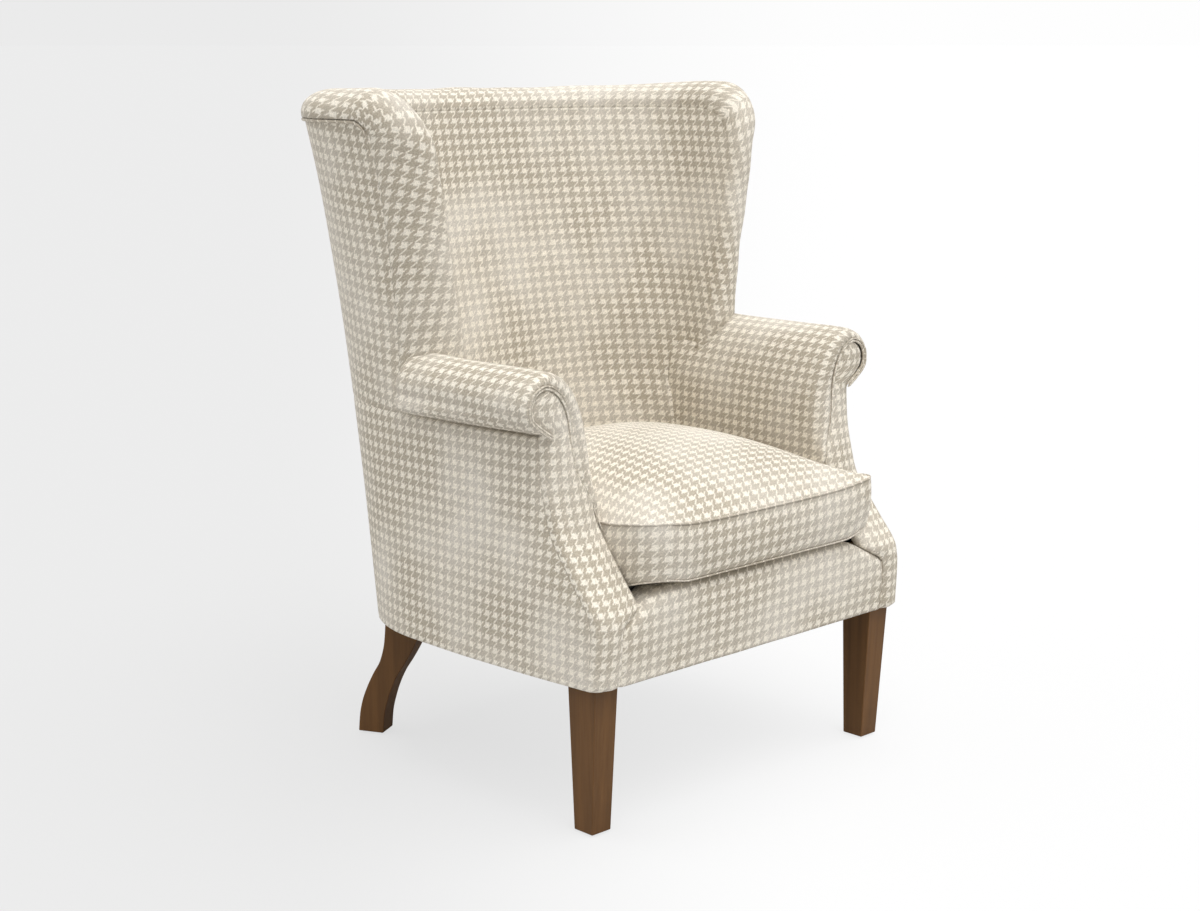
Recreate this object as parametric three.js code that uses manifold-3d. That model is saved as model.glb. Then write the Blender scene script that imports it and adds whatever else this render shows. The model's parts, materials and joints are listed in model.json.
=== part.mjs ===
// Wingback armchair with a barrel back, rolled arms and a loose box cushion.
// Millimetres, +Z up, -Y is the front, +X is the viewer's right from the front.
// The chair is laid out from the line of its front feet and centred at the end.
import * as THREE from 'three';
import { mergeVertices } from 'three/addons/utils/BufferGeometryUtils.js';
import Module from 'manifold-3d';

const wasm = await Module();
wasm.setup();

// Fits shared by all pieces
const clearance = 0.3;
const overrun = 6;
const mergeDistance = 0.0001;
const boltSides = 12;

// Tub: the upholstered shell that runs from arm to arm round the back
const tub = {
  baseHeight: 236, seamHeight: 600, rollHeight: 90, topHeight: 1057,
  halfWidth: 372, flare: 67, widestAt: 350, widestLean: 145,
  backAt: 648, backLean: 89, armBow: 32, wingBow: 13,
  armWidth: 113, insideFlare: 86,
  insideBackAt: 480, insideBackLean: 152, wingSkew: 35,
  quarterRun: 480, stationRun: 60,
};
const insideHalf = tub.halfWidth - tub.armWidth;
const wingHeight = tub.seamHeight + tub.rollHeight;
const squarenessShare = 2.5;
const squarenessLossShare = 0.5;
const insideSquarenessShare = 2.2;
const flarePowerShare = 3;
const baseBowShare = 0.56;
const stationSlack = 1;
const highestRiseShare = 1.05;
const quarterShares = [0, 0.25, 0.5, 0.75, 1];
const armLevelShares = [0, 1 / 3, 2 / 3, 1];

// Layers of the tub, counted inwards from the outside
const coverThickness = 3;
const layerGap = 0.9;
const postThickness = 30;
const hessianThickness = 2;

// Front outline of the arms, seen from the side: how far back it lies at each height
const armFront = { toe: -33, hem: -28, scroll: 84, padding: 12, railFace: -16, footWidth: 49.4 };
const heightShares = [0.2033, 0.2995, 0.3956, 0.5989, 0.805];
const swingShares = [0, 0.28, 0.78, 0.94, 1];
const armHeight = (share) => tub.baseHeight + (tub.seamHeight - tub.baseHeight) * share;
const [tuckHeight, toeHeight, kneeHeight, neckHeight, throatHeight] = heightShares.map(armHeight);

// Rolled arm
const arm = {
  crestInset: 32, rollHeight: 91, reach: 55, underRise: 7, bearingRise: 3, insideDrop: 50,
  padThickness: 39, edgeRound: 12, edgeDepth: 20,
};
const crestAt = tub.halfWidth - arm.crestInset;
const underHeight = tub.seamHeight + arm.underRise;
const crestHeight = underHeight + arm.rollHeight;
const bearingHeight = tub.seamHeight + arm.bearingRise;
const insideTop = tub.seamHeight - arm.insideDrop;
const firstEdgeShare = 0.3;
const facingEdgeShare = 0.33;
const facingSideShare = 0.75;
const outerRollShares = [0.2, 0.4, 0.6, 0.8, 1];

// Front of the roll, and the wood behind it
const disc = { offset: 2, rise: 41, halfWidth: 38, halfHeight: 34, throatWidth: 41 };
const discAt = crestAt + disc.offset;
const discHeight = tub.seamHeight + disc.rise;
const stump = { thickness: 28, width: 52, footWidth: 60 };
const stumpNear = insideHalf + arm.padThickness + 2 * clearance;
const stumpRearShares = [0, 0.45, 0.75, 1];
const stumpSweepShare = 0.8;
const armRail = { width: 40, thickness: 22 };

// Wings and top edge
const wing = { frontAt: 395, cornerRadius: 75, bulge: 38, overhang: 5, postWidth: 45 };
const wingBottom = crestHeight + 2 * clearance;
const topEdge = { bulge: 37, wingBulge: 50, cheek: 180, drop: 17 };

// Seat frame
const rail = { thickness: 25, lift: 2.9, height: 91.1 };
const railBottom = tub.baseHeight + rail.lift;
const railTop = railBottom + rail.height;
const block = { leg: 70, height: 50, rearDepth: 46, rearRun: 100 };
const backPost = { middle: 312, width: 45 };
const frameTopHeight = tub.topHeight - topEdge.drop;
const backRail = { topDepth: 50, lowerRise: 70, lowerDepth: 50 };

// Legs
const frontLeg = {
  inset: 9.6, width: 47.5, front: -13.3, depth: 59.8,
  footWidth: 39, footDepth: 39.7, footInset: 6.5, footSetback: 13.3,
};
const rearLeg = {
  across: 234.6, reach: 6.7, width: 41, turnDegrees: 27.7, footDepth: 45, topFront: -88, topRear: -14,
};
const sabreHeightShares = [0, 0.11, 0.2, 0.3, 0.4, 0.5, 0.6, 0.7, 0.85, 1];
const sabreFrontShares = [0, 0.034, 0.08, 0.148, 0.239, 0.386, 0.557, 0.682, 0.864, 1];
const sabreRearShares = [0, 0.008, 0.034, 0.085, 0.203, 0.381, 0.593, 0.763, 0.881, 1];
const glide = { radius: 11, thickness: 3 };
const bolt = { radius: 4, down: 46, nutRadius: 8, nutThickness: 7, up: 9, fromRails: 18 };

// Seat
const deck = { thickness: 22.5, rise: 39.4, rearDepth: 75 };
const deckTop = railTop + deck.rise;
const deckHalf = stumpNear - 1.5 * layerGap;
const lip = { back: 24, rise: 8, round: 22 };
const lipHalf = insideHalf - 2 * clearance;
const lipRoundShares = [[0, 1], [0.12, 0.5], [0.45, 0.14], [1, 0]];
const spring = { wire: 3.6, count: 5, spacing: 100, amplitude: 20, waves: 8, sides: 4 };
const springStepsPerWave = 6;
const dustCover = { thickness: 1.5, inset: 6, frontAt: -12, legRoom: 1.2 };

// Loose cushion
const cushion = {
  sideGap: 0.7, frontAt: -45, backGap: 12.8, depth: 93,
  crown: 86, cornerRadius: 30, cornerLift: 9, cloth: 3, coreGap: 0.6, bandBulge: 5,
};
const cushionHalf = insideHalf - cushion.sideGap;
const cushionBottom = deckTop + 2 * clearance;
const cushionSeam = cushionBottom + cushion.depth;
const cushionAround = 40;
const cushionRings = 6;
const crownMiddleShare = 0.52;
const crownSquareShare = 2.5;
const crownFallShare = 2.8;
const cornerLiftShare = 6;
const borderUpShares = [0.68, 0.32];
const bottomRingShare = 0.88;
const zip = { slit: 3, height: 24, thickness: 1.6, offset: 0.3 };
const zipPull = { width: 9, height: 14, thickness: 2.4 };
const zipLengthShare = 0.484;
const pullPlaceShare = 0.06;

// Colours and finishes
const cloth = { color: 0xcdc3b0, roughness: 0.95, metalness: 0 };
const wood = { color: 0x6b4a2f, roughness: 0.5, metalness: 0 };
const rawWood = { color: 0xc9a878, roughness: 0.8, metalness: 0 };
const steel = { color: 0x9a9a9a, roughness: 0.35, metalness: 1 };
const blackCloth = { color: 0x2b2a28, roughness: 1, metalness: 0 };
const foam = { color: 0xe8dfc0, roughness: 0.95, metalness: 0 };
const nylon = { color: 0xd9d5cc, roughness: 0.6, metalness: 0 };

const chair = new THREE.Group();

function addPart(name, geometry, finish) {
  const mesh = new THREE.Mesh(geometry, new THREE.MeshStandardMaterial(finish));
  mesh.name = name;
  chair.add(mesh);
  return mesh;
}

const lerp = THREE.MathUtils.lerp;
const smooth = THREE.MathUtils.smoothstep;
const clamp = THREE.MathUtils.clamp;

// Closed solids from lists of points

function signedVolume(points, faces) {
  let volume = 0;
  for (const [a, b, c] of faces) {
    volume += points[a].dot(points[b].clone().cross(points[c])) / 6;
  }
  return volume;
}

function solidFrom(points, faces) {
  const turned = signedVolume(points, faces) < 0 ? faces.map(([a, b, c]) => [a, c, b]) : faces;
  const geometry = new THREE.BufferGeometry();
  const numbers = points.flatMap((p) => [p.x, p.y, p.z]);
  geometry.setAttribute('position', new THREE.Float32BufferAttribute(numbers, 3));
  geometry.setIndex(turned.flat());
  geometry.computeVertexNormals();
  return geometry;
}

// Rings of equal length joined side by side, with flat caps worked out in the given plane
function loft(rings, flatten) {
  const count = rings[0].length;
  const points = rings.flat();
  const faces = [];
  for (let r = 0; r + 1 < rings.length; r += 1) {
    for (let i = 0; i < count; i += 1) {
      const a = r * count + i;
      const b = r * count + ((i + 1) % count);
      faces.push([a, b, b + count], [a, b + count, a + count]);
    }
  }
  const last = (rings.length - 1) * count;
  const cap = (ring) => {
    const flat = ring.map(flatten);
    const turned = THREE.ShapeUtils.area(flat) < 0;
    const triangles = THREE.ShapeUtils.triangulateShape(turned ? [...flat].reverse() : flat, []);
    return turned ? triangles.map((t) => t.map((i) => count - 1 - i).reverse()) : triangles;
  };
  for (const [a, b, c] of cap(rings[0])) faces.push([a, c, b]);
  for (const [a, b, c] of cap(rings[rings.length - 1])) faces.push([last + a, last + b, last + c]);
  return solidFrom(points, faces);
}

const inSide = (p) => new THREE.Vector2(p.y, p.z);
const inFront = (p) => new THREE.Vector2(p.x, p.z);
const inPlan = (p) => new THREE.Vector2(p.x, p.y);

// Booleans

function toManifold(geometry) {
  const bare = geometry.clone();
  bare.deleteAttribute('normal');
  bare.deleteAttribute('uv');
  const merged = mergeVertices(bare, mergeDistance);
  return new wasm.Manifold(new wasm.Mesh({
    numProp: 3,
    vertProperties: new Float32Array(merged.attributes.position.array),
    triVerts: new Uint32Array(merged.index.array),
  }));
}

function fromManifold(solid) {
  const mesh = solid.getMesh();
  const geometry = new THREE.BufferGeometry();
  geometry.setAttribute('position', new THREE.BufferAttribute(new Float32Array(mesh.vertProperties), 3));
  geometry.setIndex(new THREE.BufferAttribute(new Uint32Array(mesh.triVerts), 1));
  geometry.computeVertexNormals();
  return geometry;
}

function cut(geometry, ...tools) {
  let solid = toManifold(geometry);
  for (const tool of tools) {
    solid = solid.subtract(toManifold(tool));
  }
  return fromManifold(solid);
}

function join(geometry, other) {
  return fromManifold(toManifold(geometry).add(toManifold(other)));
}

function boxFrom(x0, x1, y0, y1, z0, z1) {
  const geometry = new THREE.BoxGeometry(Math.abs(x1 - x0), Math.abs(y1 - y0), Math.abs(z1 - z0));
  return geometry.translate((x0 + x1) / 2, (y0 + y1) / 2, (z0 + z1) / 2);
}

// Tub surface: outside and inside outlines in plan at any height

function rise(height) {
  return clamp((height - tub.baseHeight) / (tub.topHeight - tub.baseHeight), 0, highestRiseShare);
}

function widestY(height) {
  return tub.widestAt + tub.widestLean * rise(height);
}

function armFrontY(height) {
  const { toe, hem, scroll } = armFront;
  if (height <= toeHeight) {
    return lerp(hem, toe, smooth(height, tub.baseHeight, tuckHeight));
  }
  const heights = [toeHeight, kneeHeight, neckHeight, throatHeight, tub.seamHeight];
  const places = swingShares.map((share) => lerp(toe, scroll, share));
  for (let i = 0; i + 1 < heights.length; i += 1) {
    if (height <= heights[i + 1]) {
      return lerp(places[i], places[i + 1], (height - heights[i]) / (heights[i + 1] - heights[i]));
    }
  }
  return scroll;
}

function outsidePlan(across, height) {
  const share = rise(height);
  const halfWidth = tub.halfWidth + tub.flare * share ** flarePowerShare;
  const widest = widestY(height);
  const back = tub.backAt + tub.backLean * share;
  if (across <= tub.quarterRun) {
    const power = 2 / (squarenessShare - squarenessLossShare * share ** flarePowerShare);
    const angle = (1 - across / tub.quarterRun) * Math.PI / 2;
    return [halfWidth * Math.cos(angle) ** power, widest + (back - widest) * Math.sin(angle) ** power];
  }
  const ahead = across - tub.quarterRun;
  const onWing = clamp((height - tub.seamHeight) / tub.rollHeight, 0, 1);
  const upArm = clamp((height - tub.baseHeight) / (tub.seamHeight - tub.baseHeight), 0, 1);
  const armBow = tub.armBow * lerp(baseBowShare, 1, upArm);
  const armShare = (ahead / (widest - armFrontY(Math.min(height, tub.seamHeight)))) ** 2;
  const wingShare = ahead / (widest - wing.frontAt);
  return [halfWidth - lerp(armBow * armShare, tub.wingBow * wingShare, onWing), widest - ahead];
}

function insidePlan(across, height) {
  const flareShare = Math.max(0, (height - insideTop) / (tub.topHeight - insideTop));
  const halfWidth = insideHalf + tub.insideFlare * flareShare;
  const skew = tub.wingSkew * clamp((height - tub.seamHeight) / tub.rollHeight, 0, 1);
  const widest = widestY(height) - skew;
  const back = tub.insideBackAt + tub.insideBackLean * rise(height);
  if (across > tub.quarterRun) {
    return [halfWidth, widest - (across - tub.quarterRun)];
  }
  const angle = (1 - across / tub.quarterRun) * Math.PI / 2;
  const power = 2 / insideSquarenessShare;
  return [halfWidth * Math.cos(angle) ** power, widest + (back - widest) * Math.sin(angle) ** power];
}

// Flat facets shared by every layer, so that layers lie evenly on each other
const armLevels = armLevelShares.map(armHeight);
const wingLevels = quarterShares.map((share) => lerp(wingHeight, tub.topHeight, share));
const levels = [...armLevels, ...wingLevels];

function tubNode(station, height, layer) {
  const across = Math.abs(station) * tub.stationRun;
  const [outX, outY] = outsidePlan(across, height);
  const [inX, inY] = insidePlan(across, height);
  const thickness = Math.hypot(inX - outX, inY - outY);
  const share = layer(thickness) / thickness;
  return [lerp(outX, inX, share), lerp(outY, inY, share)];
}

// across: run from the middle of the back, left negative. layer: thickness to depth.
function tubPoint(across, height, layer) {
  const side = across < 0 ? -1 : 1;
  const run = Math.abs(across) / tub.stationRun;
  const station = Math.floor(run);
  const level = clamp(levels.findIndex((z) => z > height) - 1, 0, levels.length - 2);
  const lowLevel = height >= levels[levels.length - 1] ? levels.length - 2 : level;
  const up = (height - levels[lowLevel]) / (levels[lowLevel + 1] - levels[lowLevel]);
  const along = run - station;
  const onLevel = (l) => {
    const [near, far] = [station, station + 1].map((s) => tubNode(s, levels[l], layer));
    return [lerp(near[0], far[0], along), lerp(near[1], far[1], along)];
  };
  const low = onLevel(lowLevel);
  const high = onLevel(lowLevel + 1);
  return new THREE.Vector3(side * lerp(low[0], high[0], up), lerp(low[1], high[1], up), height);
}

const atOutside = () => 0;
const atDepth = (depth) => () => depth;
const atInside = (thickness) => thickness;

// Where a line at a given distance from the front crosses the tub's side
function acrossAt(y, height) {
  return tub.quarterRun + widestY(height) - y;
}

// Solid slab of the tub between two ends, two heights and two layers
function tubSlab({ from, to, low, high, outer, inner, extraLevels = [] }) {
  const between = (z) => z > low + stationSlack && z < high - stationSlack;
  const passed = [...levels, ...extraLevels].filter(between).sort((a, b) => a - b);
  const heights = [low, ...passed, high];
  const start = (z) => (typeof from === 'function' ? from(z) : from);
  const end = (z) => (typeof to === 'function' ? to(z) : to);
  const run = tub.stationRun;
  const least = Math.min(...heights.map(start));
  const most = Math.max(...heights.map(end));
  const stations = [];
  for (let s = Math.floor(least / run) + 1; s * run < most; s += 1) stations.push(s * run);
  const wide = stations.length + 2;
  const rows = heights.map((z) => [start(z), ...stations.map((across, i) => clamp(
    across, start(z) + stationSlack * (i + 1), end(z) - stationSlack * (stations.length - i),
  )), end(z)]);
  const points = [];
  for (const layer of [outer, inner]) {
    heights.forEach((z, j) => rows[j].forEach((across) => points.push(tubPoint(across, z, layer))));
  }
  const tall = heights.length;
  const at = (k, j, i) => k * wide * tall + j * wide + i;
  const faces = [];
  const quad = (a, b, c, d) => faces.push([a, b, c], [a, c, d]);
  for (let j = 0; j + 1 < tall; j += 1) {
    for (let i = 0; i + 1 < wide; i += 1) {
      const outside = [at(0, j, i), at(0, j, i + 1), at(0, j + 1, i + 1), at(0, j + 1, i)];
      const inside = [at(1, j, i), at(1, j + 1, i), at(1, j + 1, i + 1), at(1, j, i + 1)];
      const onLeft = rows[j][i + 1] <= 0;
      quad(...(onLeft ? [...outside.slice(1), outside[0]] : outside));
      quad(...(onLeft ? [...inside.slice(1), inside[0]] : inside));
    }
    quad(at(0, j, 0), at(0, j + 1, 0), at(1, j + 1, 0), at(1, j, 0));
    quad(at(0, j, wide - 1), at(1, j, wide - 1), at(1, j + 1, wide - 1), at(0, j + 1, wide - 1));
  }
  for (let i = 0; i + 1 < wide; i += 1) {
    quad(at(0, 0, i), at(1, 0, i), at(1, 0, i + 1), at(0, 0, i + 1));
    quad(at(0, tall - 1, i), at(0, tall - 1, i + 1), at(1, tall - 1, i + 1), at(1, tall - 1, i));
  }
  return solidFrom(points, faces);
}

const frameOuter = atDepth(coverThickness + layerGap);
const frameInner = atDepth(coverThickness + layerGap + postThickness);
const railInner = atDepth(coverThickness + layerGap + rail.thickness);
const hessianDepth = coverThickness + layerGap + postThickness + layerGap + 2 * clearance;
const padDepth = hessianDepth + hessianThickness + layerGap;

// Ends of the wing: straight up its front, then round the top corner
const cornerHeight = tub.topHeight - wing.cornerRadius;

const cornerPoints = quarterShares.map((share) => {
  const angle = share * Math.PI / 2;
  return [cornerHeight + wing.cornerRadius * Math.sin(angle), wing.cornerRadius * (1 - Math.cos(angle))];
});
const cornerLevels = cornerPoints.slice(0, -1).map(([z]) => z);
const panelTop = tub.topHeight - clearance;

function wingEnd(height) {
  const straight = acrossAt(wing.frontAt, height);
  if (height <= cornerHeight) return straight;
  if (height >= panelTop) return straight - wing.cornerRadius;
  const next = cornerPoints.findIndex(([z]) => z > height);
  const [lowZ, lowBack] = cornerPoints[next - 1];
  const [highZ, highBack] = cornerPoints[next];
  return straight - lerp(lowBack, highBack, (height - lowZ) / (highZ - lowZ));
}

const sides = [['left', -1], ['right', 1]];

// The left side mirrors the right one
function onSide(side, geometry) {
  if (side > 0) return geometry;
  const place = geometry.attributes.position;
  const points = Array.from({ length: place.count }, (_, i) => (
    new THREE.Vector3(-place.getX(i), place.getY(i), place.getZ(i))
  ));
  const faces = [];
  for (let i = 0; i < geometry.index.count; i += 3) {
    faces.push([0, 1, 2].map((k) => geometry.index.getX(i + k)));
  }
  return solidFrom(points, faces);
}

const sideSlab = (side, slab) => onSide(side, tubSlab(slab));

function extruded(outline, depth, lift) {
  const settings = { depth, bevelEnabled: false, steps: 1 };
  return new THREE.ExtrudeGeometry(new THREE.Shape(outline), settings).translate(0, 0, lift);
}

function tube(points, radius, steps, tubeSides) {
  const section = new THREE.Shape();
  section.absarc(0, 0, radius, 0, Math.PI * 2, false);
  return new THREE.ExtrudeGeometry(new THREE.Shape(section.getSpacedPoints(tubeSides).slice(0, -1)), {
    steps, extrudePath: new THREE.CatmullRomCurve3(points), bevelEnabled: false,
  });
}

// Front legs: square tapered posts, wider and further forward at the top
const soleHeight = glide.thickness + clearance;
const legTopHeight = railBottom - clearance;
const hemHalf = outsidePlan(acrossAt(armFront.hem, tub.baseHeight), tub.baseHeight)[0];
const borderHalf = hemHalf - armFront.footWidth;
const frontLegOuter = hemHalf - frontLeg.inset;
const footOuter = frontLegOuter - frontLeg.footInset;
const footFront = frontLeg.front + frontLeg.footSetback;

function frontLegSolid(side) {
  const ring = (outer, width, front, depth, z) => [
    [outer, front], [outer - width, front], [outer - width, front + depth], [outer, front + depth],
  ].map(([x, y]) => new THREE.Vector3(side * x, y, z));
  const foot = ring(footOuter, frontLeg.footWidth, footFront, frontLeg.footDepth, soleHeight);
  const top = ring(frontLegOuter, frontLeg.width, frontLeg.front, frontLeg.depth, legTopHeight);
  return loft([foot, top], inPlan);
}

// Rear legs: sabre legs, sawn in profile and turned outwards
const rearTurn = THREE.MathUtils.degToRad(rearLeg.turnDegrees);
const [rearCornerX, rearCornerY] = outsidePlan(rearLeg.across, tub.baseHeight);

function rearLegPoint(side, along, acrossLeg, z) {
  const out = along + rearLeg.reach;
  const x = rearCornerX + out * Math.sin(rearTurn) - acrossLeg * Math.cos(rearTurn);
  const y = rearCornerY + out * Math.cos(rearTurn) + acrossLeg * Math.sin(rearTurn);
  return new THREE.Vector3(side * x, y, z);
}

function rearLegSolid(side) {
  const outline = (acrossLeg) => {
    const heights = sabreHeightShares.map((share) => lerp(soleHeight, legTopHeight, share));
    const front = heights.map((z, i) => (
      rearLegPoint(side, rearLeg.topFront * sabreFrontShares[i], acrossLeg, z)
    ));
    const rear = heights.map((z, i) => rearLegPoint(
      side, lerp(rearLeg.footDepth, rearLeg.topRear, sabreRearShares[i]), acrossLeg, z,
    ));
    return [...front, ...rear.reverse()];
  };
  return loft([outline(0), outline(rearLeg.width)], inSide);
}

// Hanger bolt that stands in the leg and takes a nut above the corner block
function boltAt(place, grow) {
  const radius = bolt.radius + grow;
  const seat = railBottom + block.height + clearance;
  const bottom = legTopHeight - bolt.down - grow;
  const nutTop = seat + bolt.nutThickness;
  const top = nutTop + bolt.up - bolt.nutThickness;
  const profile = grow > 0
    ? [[0, bottom], [radius, bottom], [radius, seat + overrun], [0, seat + overrun]]
    : [[0, bottom], [radius, bottom], [radius, seat], [bolt.nutRadius, seat],
      [bolt.nutRadius, nutTop], [radius, nutTop], [radius, top], [0, top]];
  const geometry = new THREE.LatheGeometry(profile.map(([r, z]) => new THREE.Vector2(r, z)), boltSides);
  return geometry.rotateX(Math.PI / 2).translate(place.x, place.y, 0);
}

// Seat rails
const railFront = armFront.railFace + clearance;
const frontRailHalf = Math.min(...[railBottom, railTop].map(
  (z) => tubPoint(acrossAt(railFront, z), z, railInner).x,
)) - layerGap;
const railJoint = backPost.middle + backPost.width / 2 + rail.thickness / 2;

addPart('front_seat_rail', boxFrom(
  -frontRailHalf, frontRailHalf, railFront, railFront + rail.thickness, railBottom, railTop,
), rawWood);

addPart('back_seat_rail', tubSlab({
  from: -railJoint, to: railJoint, low: railBottom, high: railTop, outer: frameOuter, inner: railInner,
}), rawWood);

for (const [name, side] of sides) {
  addPart(`side_seat_rail_${name}`, sideSlab(side, {
    from: railJoint + layerGap, to: (z) => acrossAt(railFront, z),
    low: railBottom, high: railTop, outer: frameOuter, inner: railInner,
  }), rawWood);
}

// Legs, glides, bolts and corner blocks
const blockBack = railFront + rail.thickness + clearance;
const blockSide = frontRailHalf - clearance;

for (const [name, side] of sides) {
  const frontBolt = new THREE.Vector3(side * (blockSide - bolt.fromRails), blockBack + bolt.fromRails, 0);
  const legMiddle = (rearLeg.topFront + rearLeg.topRear) / 2;
  const rearBolt = rearLegPoint(side, legMiddle, rearLeg.width / 2, 0);
  const frontBore = () => boltAt(frontBolt, clearance);
  const rearBore = () => boltAt(rearBolt, clearance);
  addPart(`front_leg_${name}`, cut(frontLegSolid(side), frontBore()), wood);
  addPart(`rear_leg_${name}`, cut(rearLegSolid(side), rearBore()), wood);
  addPart(`front_leg_bolt_${name}`, boltAt(frontBolt, 0), steel);
  addPart(`rear_leg_bolt_${name}`, boltAt(rearBolt, 0), steel);

  const triangle = [
    [blockSide, blockBack], [blockSide, blockBack + block.leg], [blockSide - block.leg, blockBack],
  ].map(([x, y]) => new THREE.Vector2(side * x, y));
  const frontBlock = extruded(triangle, block.height, railBottom);
  addPart(`front_corner_block_${name}`, cut(frontBlock, frontBore()), rawWood);

  const rearBlock = sideSlab(side, {
    from: rearLeg.across - block.rearRun / 2, to: rearLeg.across + block.rearRun / 2,
    low: railBottom, high: railBottom + block.height,
    outer: (t) => railInner(t) + clearance, inner: (t) => railInner(t) + clearance + block.rearDepth,
  });
  addPart(`rear_corner_block_${name}`, cut(rearBlock, rearBore()), rawWood);

  const glideProfile = [[0, 0], [glide.radius, 0], [glide.radius, glide.thickness], [0, glide.thickness]];
  const glideAt = (place) => new THREE.LatheGeometry(
    glideProfile.map(([r, z]) => new THREE.Vector2(r, z)), boltSides,
  ).rotateX(Math.PI / 2).translate(place.x, place.y, 0);
  const frontFoot = new THREE.Vector3(
    side * (footOuter - frontLeg.footWidth / 2), footFront + frontLeg.footDepth / 2, 0,
  );
  const rearFoot = rearLegPoint(side, rearLeg.footDepth / 2, rearLeg.width / 2, 0);
  addPart(`front_glide_${name}`, glideAt(frontFoot), nylon);
  addPart(`rear_glide_${name}`, glideAt(rearFoot), nylon);
}

// Posts and upper rails of the back and wings
const wingPostRear = (z) => acrossAt(wing.frontAt, z) - wing.postWidth;
const wingPostFront = (z) => wingEnd(z) - layerGap;
const postSeat = railTop + clearance;
const topRailHeight = frameTopHeight - backRail.topDepth;
const postNear = backPost.middle - backPost.width / 2;
const postFar = backPost.middle + backPost.width / 2;

function wingPostSolid(side, grow) {
  return sideSlab(side, {
    from: wingPostRear, to: (z) => wingPostFront(z) + grow, low: postSeat, high: frameTopHeight,
    outer: frameOuter, inner: atDepth(coverThickness + layerGap + postThickness + grow),
    extraLevels: cornerLevels,
  });
}

// Inside back: the pad that lines the back and both wings
const padBottom = deckTop + layerGap;
const padEnd = (z) => Math.max(tub.quarterRun, wingEnd(z)) - layerGap;

function padSolid(grow, depth) {
  return tubSlab({
    from: (z) => -padEnd(z) - grow, to: (z) => padEnd(z) + grow, low: padBottom, high: panelTop,
    outer: atDepth(depth), inner: (thickness) => thickness + grow, extraLevels: cornerLevels,
  });
}

for (const [name, side] of sides) {
  addPart(`back_post_${name}`, sideSlab(side, {
    from: postNear, to: postFar, low: postSeat, high: frameTopHeight, outer: frameOuter, inner: frameInner,
  }), rawWood);
  addPart(`wing_post_${name}`, wingPostSolid(side, 0), rawWood);
  addPart(`wing_top_rail_${name}`, sideSlab(side, {
    from: postFar + layerGap, to: (z) => wingPostRear(z) - layerGap, low: topRailHeight, high: frameTopHeight,
    outer: frameOuter, inner: frameInner,
  }), rawWood);
}

const betweenPosts = postNear - layerGap;
const lowerRailHeight = railTop + backRail.lowerRise;
const backRails = {
  top_back_rail: [topRailHeight, frameTopHeight],
  lower_back_rail: [lowerRailHeight, lowerRailHeight + backRail.lowerDepth],
};
for (const [name, [low, high]] of Object.entries(backRails)) {
  addPart(name, tubSlab({
    from: -betweenPosts, to: betweenPosts, low, high, outer: frameOuter, inner: frameInner,
  }), rawWood);
}

// Arm front: the sawn stump and the padded facing that hides it
const facingBackY = (z) => Math.max(armFrontY(z) + armFront.padding, armFront.railFace);
const facingTop = discHeight + disc.halfHeight;

function facingNear(z) {
  if (z <= railTop) return borderHalf + layerGap;
  const throatNear = discAt - disc.throatWidth;
  if (z >= tub.seamHeight) {
    const up = clamp((z - tub.seamHeight) / (facingTop - tub.seamHeight), 0, 1);
    return discAt - disc.throatWidth * Math.sqrt(1 - up ** 2);
  }
  return lerp(insideHalf, throatNear, smooth(z, neckHeight, tub.seamHeight));
}

function facingFar(z) {
  if (z <= underHeight) {
    const height = Math.min(z, tub.seamHeight);
    return tubPoint(acrossAt(facingBackY(height), height), height, atOutside).x;
  }
  const up = clamp((z - discHeight) / disc.halfHeight, -1, 1);
  return discAt + disc.halfWidth * Math.sqrt(1 - up ** 2);
}

const tuckLevels = quarterShares.map((share) => lerp(tub.baseHeight, tuckHeight, share));
const kneeY = armFrontY(kneeHeight);
const lipEndShare = (armFront.railFace - armFront.padding - armFront.toe) / (kneeY - armFront.toe);
const lipEndHeight = lerp(toeHeight, kneeHeight, lipEndShare);
const sCurve = [lipEndHeight, kneeHeight, neckHeight, throatHeight];
const softBends = [(neckHeight + throatHeight) / 2, (throatHeight + tub.seamHeight) / 2];
const discShares = [0.12, 0.3, 0.5, 0.7, 0.86, 0.96, 1];
const facingLevels = [
  ...tuckLevels, railTop, railTop + clearance, toeHeight, ...sCurve, ...softBends, tub.seamHeight,
  underHeight, ...discShares.map((share) => lerp(underHeight, facingTop, share)),
].sort((a, b) => a - b);

function facingSolid(side, grow) {
  const rings = facingLevels.map((z, i) => {
    const lift = i === 0 ? -grow : i === facingLevels.length - 1 ? grow : 0;
    const near = facingNear(z) - grow;
    const far = facingFar(z) + grow;
    const front = armFrontY(z) - (grow > 0 ? overrun : 0);
    const back = facingBackY(z) + grow;
    const round = Math.min(arm.edgeRound, (far - near) * facingEdgeShare);
    const edge = grow > 0 ? 0 : round * facingEdgeShare;
    const turned = grow > 0 ? edge + clearance : round * facingSideShare;
    return [
      [near, back], [near, front + edge], [near + edge, front], [far - round, front],
      [far - edge, front + edge], [far, front + turned], [far, back],
    ].map(([x, y]) => new THREE.Vector3(side * x, y, z + lift));
  });
  return loft(rings, inPlan);
}

function stumpSolid(side) {
  const top = bearingHeight - 2 * clearance;
  const bends = [toeHeight, ...sCurve].filter((z) => z > postSeat + stationSlack);
  const heights = [postSeat, ...bends, top];
  const front = heights.map((z) => [facingBackY(z) + clearance, z]);
  const foot = front[0][0] + stump.footWidth;
  const head = front[front.length - 1][0] + stump.width;
  const rear = stumpRearShares.map((share) => (
    [lerp(foot, head, share ** stumpSweepShare), lerp(postSeat, top, share)]
  ));
  const outline = [...front, ...rear.reverse()];
  const ring = (x) => outline.map(([y, z]) => new THREE.Vector3(side * x, y, z));
  return loft([ring(stumpNear), ring(stumpNear + stump.thickness)], inSide);
}

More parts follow.
